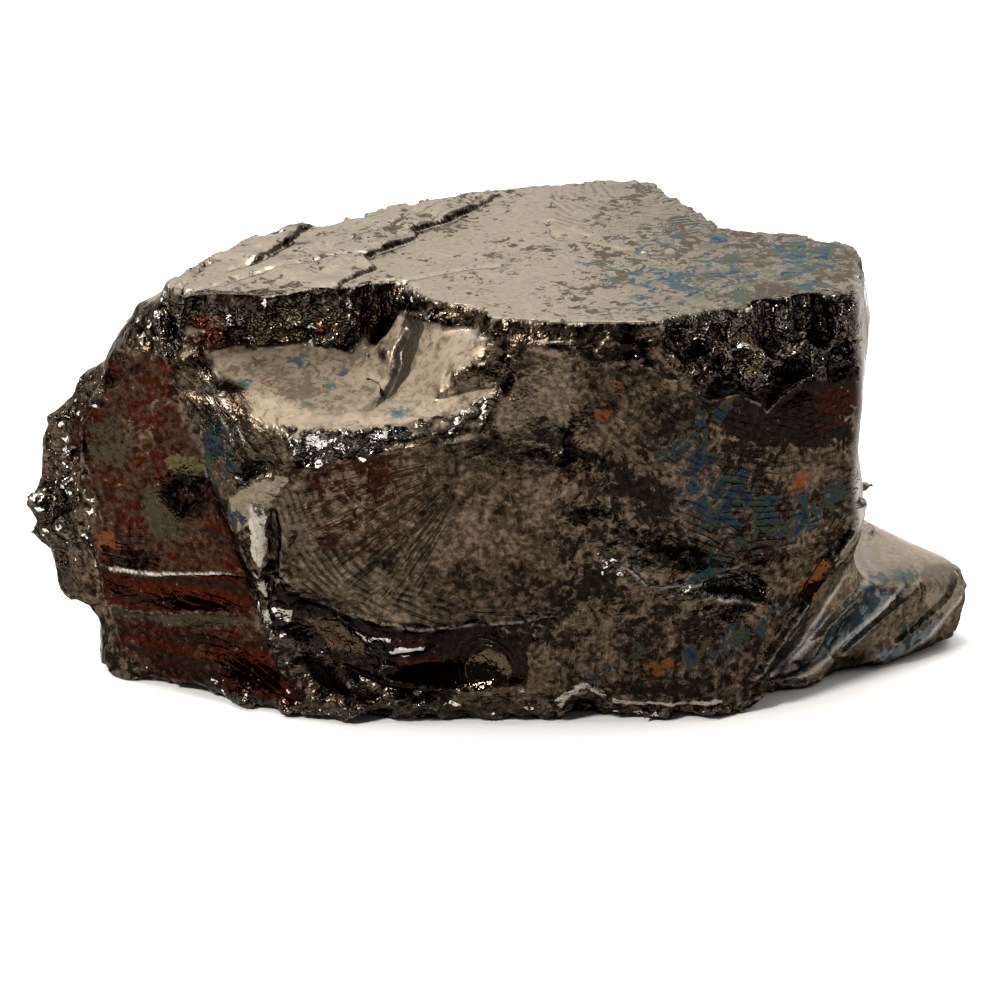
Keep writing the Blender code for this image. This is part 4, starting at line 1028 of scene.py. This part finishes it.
class Value:
    """The output of a node, with short ways to work out the next one from it."""

    def __init__(self, socket):
        self.socket, self.tree = socket, socket.id_data

    def maths(self, operation, first, second=0.0, clamp=False):
        return add(self.tree, "Math", {0: first, 1: second}, operation=operation, use_clamp=clamp)

    def __add__(self, other):
        return self.maths("ADD", self, other)

    def __sub__(self, other):
        return self.maths("SUBTRACT", self, other)

    def __rsub__(self, other):
        return self.maths("SUBTRACT", other, self)

    def __mul__(self, other):
        return self.maths("MULTIPLY", self, other)

    def most(self, other):
        return self.maths("MAXIMUM", self, other)

    def spread(self, low, high, start=0.0, end=1.0, smooth=True):
        limits = {"From Min": low, "From Max": high, "To Min": start, "To Max": end}
        kind = "SMOOTHSTEP" if smooth else "LINEAR"
        return add(self.tree, "MapRange", {"Value": self, **limits}, interpolation_type=kind)

    def blend(self, under, over):
        return add(self.tree, "Mix", {0: self, 2: under, 3: over}, data_type="FLOAT")

    def cover(self, under, over):
        """One colour over another, as far as this mask covers it."""
        return add(self.tree, "Mix", {0: self, 6: under, 7: over}, output=2, data_type="RGBA")

    def brighter(self, amount):
        return add(self.tree, "HueSaturation", {"Value": amount, "Color": self}, output="Color")

    def speckle(self, size, detail, roughness=0.5, distortion=0.0):
        """Noise whose bumps are about this wide, in millimetres."""
        return add(self.tree, "TexNoise", {"Vector": self, "Scale": 1.0 / (size * MM), "Detail": detail,
                                           "Roughness": roughness, "Distortion": distortion})

    def cells(self, size, output):
        return add(self.tree, "TexVoronoi", {"Vector": self, "Scale": 1.0 / (size * MM)}, output=output)

    def part(self, axis):
        return add(self.tree, "SeparateXYZ", {0: self}, output=axis)

    def stored(self, name, vector=False):
        """The number that each point of the stone carries under this name."""
        return add(self.tree, "Attribute", output="Vector" if vector else "Fac", attribute_name=name)


KINDS = {"Place": "Vector", "Iridescence": "Color"}    # what a group's sockets hold where it isn't a number


def new_group(name, inputs, outputs):
    group = bpy.data.node_groups.new(name, "ShaderNodeTree")
    for names, way in ((inputs, "INPUT"), (outputs, "OUTPUT")):
        for title in names:
            kind = "NodeSocket" + KINDS.get(title, "Float")
            group.interface.new_socket(title, in_out=way, socket_type=kind)
    start, end = group.nodes.new("NodeGroupInput"), group.nodes.new("NodeGroupOutput")
    return group, [Value(start.outputs[title]) for title in inputs], end.inputs


def use_group(tree, group, **inputs):
    """Puts a group into the material, and gives back its outputs by name."""
    node = tree.nodes.new("ShaderNodeGroup")
    node.node_tree = group
    for name, value in inputs.items():
        plug(node.inputs[name], value)
    return {socket.name: Value(socket) for socket in node.outputs}


print("masks have", len([name for name in vars(Value) if not name.startswith("__")]), "short ways")

# %% [markdown]
# The lines of a fracture come first, because film wears off along them. The film is thick on the top and
# the ledge, patchy on the front, and gone from the undercut and from the edges of the scarps.

# %% Fracture lines and film
def line_group():
    """The lines of the curved ripples and of the fanning hackles, each from 0 to 1."""
    group, (place,), result = new_group("fracture lines of shungite", ["Place"], ["Arcs", "Fans"])
    bend = place.speckle(6.0, 1.0) * 2.4
    turn = (place.stored("ripples", True).part("X") + bend) * (2 * math.pi)
    arcs = turn.maths("SINE", turn).spread(-0.2, 1.0) * place.speckle(3.0, 1.0, 0.6).spread(0.38, 0.62)
    plug(result["Arcs"], arcs * place.stored("ripple strength"))
    fans = place.stored("hackles", True).speckle(METRE, 3.0, 0.7).spread(0.50, 0.58)
    plug(result["Fans"], fans * place.stored("hackle strength"))
    return group


def film_group():
    """How much film each place keeps, from 0 to 1, and the noise that decides it."""
    group, (place, arcs, fans), result = new_group(
        "film left on shungite", ["Place", "Arcs", "Fans"], ["Film", "Mottle", "Tarnish"])
    mottle = place.speckle(7.0, 2.0, 0.6) * 0.36 + place.speckle(1.4, 4.0, 0.76, 0.5) * 0.64
    kept = (mottle + place.stored("film shift")).spread(0.482, 0.510)
    right = place.part("X").spread(0.002, 0.030)
    kept = place.stored("top").blend(kept, (mottle - right * 0.050).spread(0.430, 0.446))
    lines = fans * 0.85 + arcs * 0.5
    kept = kept * lines.maths("SUBTRACT", 1.0, lines, clamp=True)
    bare = place.stored("crumbled").spread(0.2, 0.8) * 0.5
    bare = bare.most(place.stored("scarp").spread(0.2, 0.8) * 0.9)
    plug(result["Film"], kept * (1.0 - bare))
    plug(result["Mottle"], mottle)
    plug(result["Tarnish"], right * mottle.spread(0.42, 0.56))
    return group


print("lines and film ready")

# %% [markdown]
# Iridescence follows the thickness of the film that stains the stone: brown, olive, teal, blue, then a
# violet black. The thickness is noise, so the colours run as bands around each stain.

# %% Stains as masks
IRIDESCENCE = [    # along the thickness of the film that stains it
    (0.00, (0.060, 0.038, 0.030)), (0.28, (0.040, 0.036, 0.017)), (0.42, (0.018, 0.032, 0.028)),
    (0.55, (0.015, 0.032, 0.038)), (0.68, (0.008, 0.019, 0.036)), (0.80, (0.004, 0.007, 0.016)),
    (0.92, (0.026, 0.020, 0.024)),
]
STAIN_LIMITS = (("blue", 0.24, 0.30), ("rust", 0.26, 0.36), ("tan", 0.20, 0.38))


def stain_group():
    """The colour of the iridescent stains, and masks of them, of the rust and of the tan."""
    group, (place, mottle), result = new_group(
        "stains on shungite", ["Place", "Mottle"], ["Iridescence", "Blue", "Rust", "Tan"])
    patches = place.speckle(2.6, 4.0, 0.68, 1.2)
    ragged = patches.spread(0.40, 0.60, smooth=False)
    for name, low, high in STAIN_LIMITS:
        plug(result[name.capitalize()], (place.stored(name) * ragged).spread(low, high))
    ramp = group.nodes.new("ShaderNodeValToRGB")
    stops = ramp.color_ramp.elements
    stops.remove(stops[1])
    stops[0].position, stops[0].color = IRIDESCENCE[0][0], (*IRIDESCENCE[0][1], 1.0)
    for position, colour in IRIDESCENCE[1:]:
        stops.new(position).color = (*colour, 1.0)
    thickness = (patches - 0.5) * 2.6 + (mottle - 0.5) * 2.0 + 0.16 + place.stored("blue") * 0.32
    plug(ramp.inputs["Fac"], thickness)
    plug(result["Iridescence"], Value(ramp.outputs["Color"]))
    return group


print("stains ready,", len(IRIDESCENCE), "colours along the film")

# %% [markdown]
# The colours below are thin films over black glass, so nearly all of them are dark. A few are painted
# light: painted shade in hollows and ripple grooves, painted highlights on edges and ridges, and painted
# glints on crumbs and in pale specks. They are laid one over the other from the glass up, and each is
# held back by its mask.

# %% Colour, layer over layer
BLACK_GLASS, CRUMB_GLASS, RED_GLASS = (0.0080, 0.0055, 0.0038), (0.034, 0.029, 0.024), (0.024, 0.0048, 0.0020)
OLD_FILM, FILM, PALE_FILM = (0.026, 0.0178, 0.0110), (0.070, 0.049, 0.033), (0.215, 0.172, 0.120)
FLANK_FILM, LEDGE_FILM, FOOT_FILM = (0.026, 0.0140, 0.0090), (0.178, 0.140, 0.096), (0.205, 0.156, 0.103)
TOP_FILM, TOP_TARNISH, TOP_OLIVE = (0.224, 0.190, 0.147), (0.160, 0.128, 0.106), (0.088, 0.088, 0.064)
# The second colour here is painted shade, laid into hollows and along ripple grooves.
TOP_SPOT, PAINTED_SHADE = (0.070, 0.056, 0.044), (0.004, 0.0035, 0.003)
# The last colour here is pale specks, painted as dust and as glints.
RUST, TAN, DUST_AND_GLINT = (0.090, 0.029, 0.008), (0.090, 0.066, 0.036), (0.180, 0.155, 0.120)
# These three are a colour for sharp edges, lighter by wear and by painted highlight, a painted glint colour,
# and a colour for pale lines, some of them painted highlights.
WORN_AND_HIGHLIT_EDGE, PAINTED_GLINT, PALE_AND_HIGHLIGHT = (0.150, 0.130, 0.105), (0.66, 0.62, 0.57), (0.45, 0.42, 0.38)
FINE = (0.35, 0.65)    # the middle of the fine noise, which is spread over light and dark


def painted_glints(place):
    """Painted glints: single crumbs painted a bright silver, in the zones where the glass is freshly broken.
    """
    pick = add(place.tree, "SeparateColor", {0: place.cells(0.9, "Color")})
    clustered = place.speckle(2.4, 1.0).spread(0.44, 0.62)
    needed = 1.0 - place.stored("painted_glint_share") * clustered * 0.42
    return (pick - needed).spread(0.0, 0.02) * place.speckle(0.6, 1.0).spread(0.42, 0.56)


def film_colours(place, film):
    """The colour of the film, which differs from face to face."""
    colour = film["Mottle"].spread(0.47, 0.60).cover(OLD_FILM, FILM)
    colour = place.stored("flank").cover(colour, FLANK_FILM)
    colour = place.stored("film shift").spread(0.04, 0.22, 0.0, 0.45).cover(colour, PALE_FILM)
    colour = place.stored("ledge").cover(colour, LEDGE_FILM)
    colour = place.stored("foot").cover(colour, FOOT_FILM)
    tarnish = place.speckle(2.2, 3.0, 0.7, 0.8).spread(0.485, 0.515).cover(TOP_TARNISH, TOP_OLIVE)
    return place.stored("top").cover(colour, film["Tarnish"].cover(TOP_FILM, tarnish))


def shungite_colour(place, lines, film, stains):
    """The colour of the reflection at each place."""
    top, ledge = place.stored("top"), place.stored("ledge")
    fine = place.speckle(0.7, 3.0, 0.7)
    upright = add(place.tree, "VectorMath", {0: place, 1: (0.05, 0.05, 1.0)}, operation="MULTIPLY")
    streaks = upright.speckle(1.3, 3.0, 0.72).spread(0.45, 0.60)
    glass = (place.stored("red") * (1.0 - streaks * 0.85)).cover(BLACK_GLASS, RED_GLASS)
    glass = place.stored("crumbled").spread(0.2, 0.7).cover(glass, CRUMB_GLASS)
    glass = (top * (1.0 - place.stored("scarp"))).cover(glass, TOP_SPOT)
    colour = film["Film"].most(ledge * 0.9).cover(glass, film_colours(place, film))
    even = top.most(ledge)
    colour = colour.brighter(even.blend(fine.spread(*FINE, 0.52, 1.38), fine.spread(*FINE, 0.88, 1.08)))
    colour = colour.brighter(ledge.blend(1.0, film["Mottle"].spread(0.44, 0.56, 0.74, 1.12)))
    colour = (fine.spread(0.40, 0.36) * ledge * 0.6).cover(colour, TOP_SPOT)
    mark = (place.stored("mark share") + (fine - 0.5) * 0.9).spread(0.38, 0.50)
    colour = mark.cover(colour, place.stored("mark colour", True).brighter(fine.spread(*FINE, 0.75, 1.20)))
    colour = (stains["Tan"] * 0.8).cover(colour, TAN)
    colour = (stains["Rust"] * 0.8).cover(colour, RUST)
    blue = stains["Iridescence"].brighter(even.spread(0.0, 1.0, 0.66, 2.2))
    colour = (stains["Blue"] * 0.9).cover(colour, blue)
    # Painted shade along the ripple grooves.
    colour = (lines["Arcs"] * 0.55).cover(colour, PAINTED_SHADE)
    # Painted shade, darkest in the deepest hollows and recesses.
    colour = place.stored("broad bulge").spread(-0.12, -0.9, 0.0, 0.75).cover(colour, PAINTED_SHADE)
    # Sharp edges are lighter: wear, and a painted highlight.
    worn_and_highlit = place.stored("fine bulge").spread(0.04, 0.14) * fine.spread(0.40, 0.60)
    colour = (worn_and_highlit * 0.6).cover(colour, WORN_AND_HIGHLIT_EDGE)
    # Pale specks, painted as dust and as glints.
    colour = (fine.spread(0.66, 0.72) * (0.5 - top * 0.4)).cover(colour, DUST_AND_GLINT)
    # Pale lines and edges, part of them painted highlights.
    colour = place.stored("pale line").cover(colour, PALE_AND_HIGHLIGHT)
    # Painted glints on single crumbs.
    return painted_glints(place).cover(colour, PAINTED_GLINT)


print("colours ready")

# %% [markdown]
# The finest relief is a bump. Freshly broken zones are small cups crossed by creases, the ripples and
# hackles are grooves along their lines, and the rest is a faint unevenness, least on the cleavage faces.

# %% Fine relief
def relief_group():
    """The height of the fine relief, in millimetres."""
    group, (place, arcs, fans), result = new_group(
        "fine relief of shungite", ["Place", "Arcs", "Fans"], ["Height"])
    grain = place.speckle(0.5, 1.0, 0.6) * 0.05
    lumps = place.speckle(2.4, 3.0, 0.62) * place.stored("smooth").blend(0.5, 0.16)
    not_top = 1.0 - place.stored("top").most(place.stored("ledge")) * 0.92
    away = place.cells(1.5, "Distance")
    crease = place.speckle(0.8, 1.0, 0.6) - 0.5
    cups = away * away * 0.75 + crease.maths("ABSOLUTE", crease) * 0.9
    grooves = arcs * 0.10 + fans * 0.08
    plug(result["Height"], (lumps + grain) * not_top - grooves + cups * place.stored("crumbled"))
    return group


print("relief recipe ready")

# %% [markdown]
# The shine does most of the work. Bare carbon is nearly a mirror, the film is satin, and the broken
# zones glint. Its reflections take the colour of the film, as a metal's do, so it is set metallic.

# %% The shungite material
METALLIC, LEDGE_METALLIC = 1.0, 0.2
EDGE_TINT, LEDGE_SPECULAR = (0.5, 0.5, 0.5), 0.2    # how much a slanting view adds to the shine
GLASS_ROUGHNESS, FILM_ROUGHNESS, TOP_ROUGHNESS = 0.08, 0.26, 0.25


def shungite_material():
    material = bpy.data.materials.new("shungite")
    material.use_nodes = True
    tree = material.node_tree
    shader = tree.nodes["Principled BSDF"].inputs
    plug(shader["Specular Tint"], EDGE_TINT)
    plug(shader["Specular IOR Level"], LEDGE_SPECULAR)
    place = add(tree, "TexCoord", output="Object")
    lines = use_group(tree, line_group(), Place=place)
    film = use_group(tree, film_group(), Place=place, **lines)
    stains = use_group(tree, stain_group(), Place=place, Mottle=film["Mottle"])
    relief = use_group(tree, relief_group(), Place=place, **lines)
    plug(shader["Normal"], add(tree, "Bump", {"Strength": 1.0, "Distance": MM, "Height": relief["Height"]}))
    plug(shader["Base Color"], shungite_colour(place, lines, film, stains))
    top, ledge = place.stored("top"), place.stored("ledge")
    rough = film["Film"].blend(GLASS_ROUGHNESS, top.blend(FILM_ROUGHNESS, TOP_ROUGHNESS))
    rough = rough + (film["Mottle"] - 0.5) * 0.5
    plug(shader["Roughness"], rough.maths("ADD", rough, ledge * 0.15, clamp=True))
    plug(shader["Metallic"], ledge.blend(METALLIC, LEDGE_METALLIC))
    return material


stone.data.materials.clear()
stone.data.materials.append(shungite_material())
print("material nodes", len(stone.data.materials[0].node_tree.nodes))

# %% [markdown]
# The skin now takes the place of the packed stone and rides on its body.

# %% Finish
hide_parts(NODE)
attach(stone, "root")
for polygon in stone.data.polygons:
    polygon.use_smooth = True
bpy.context.view_layer.update()
print("the skin stands in for", NODE)
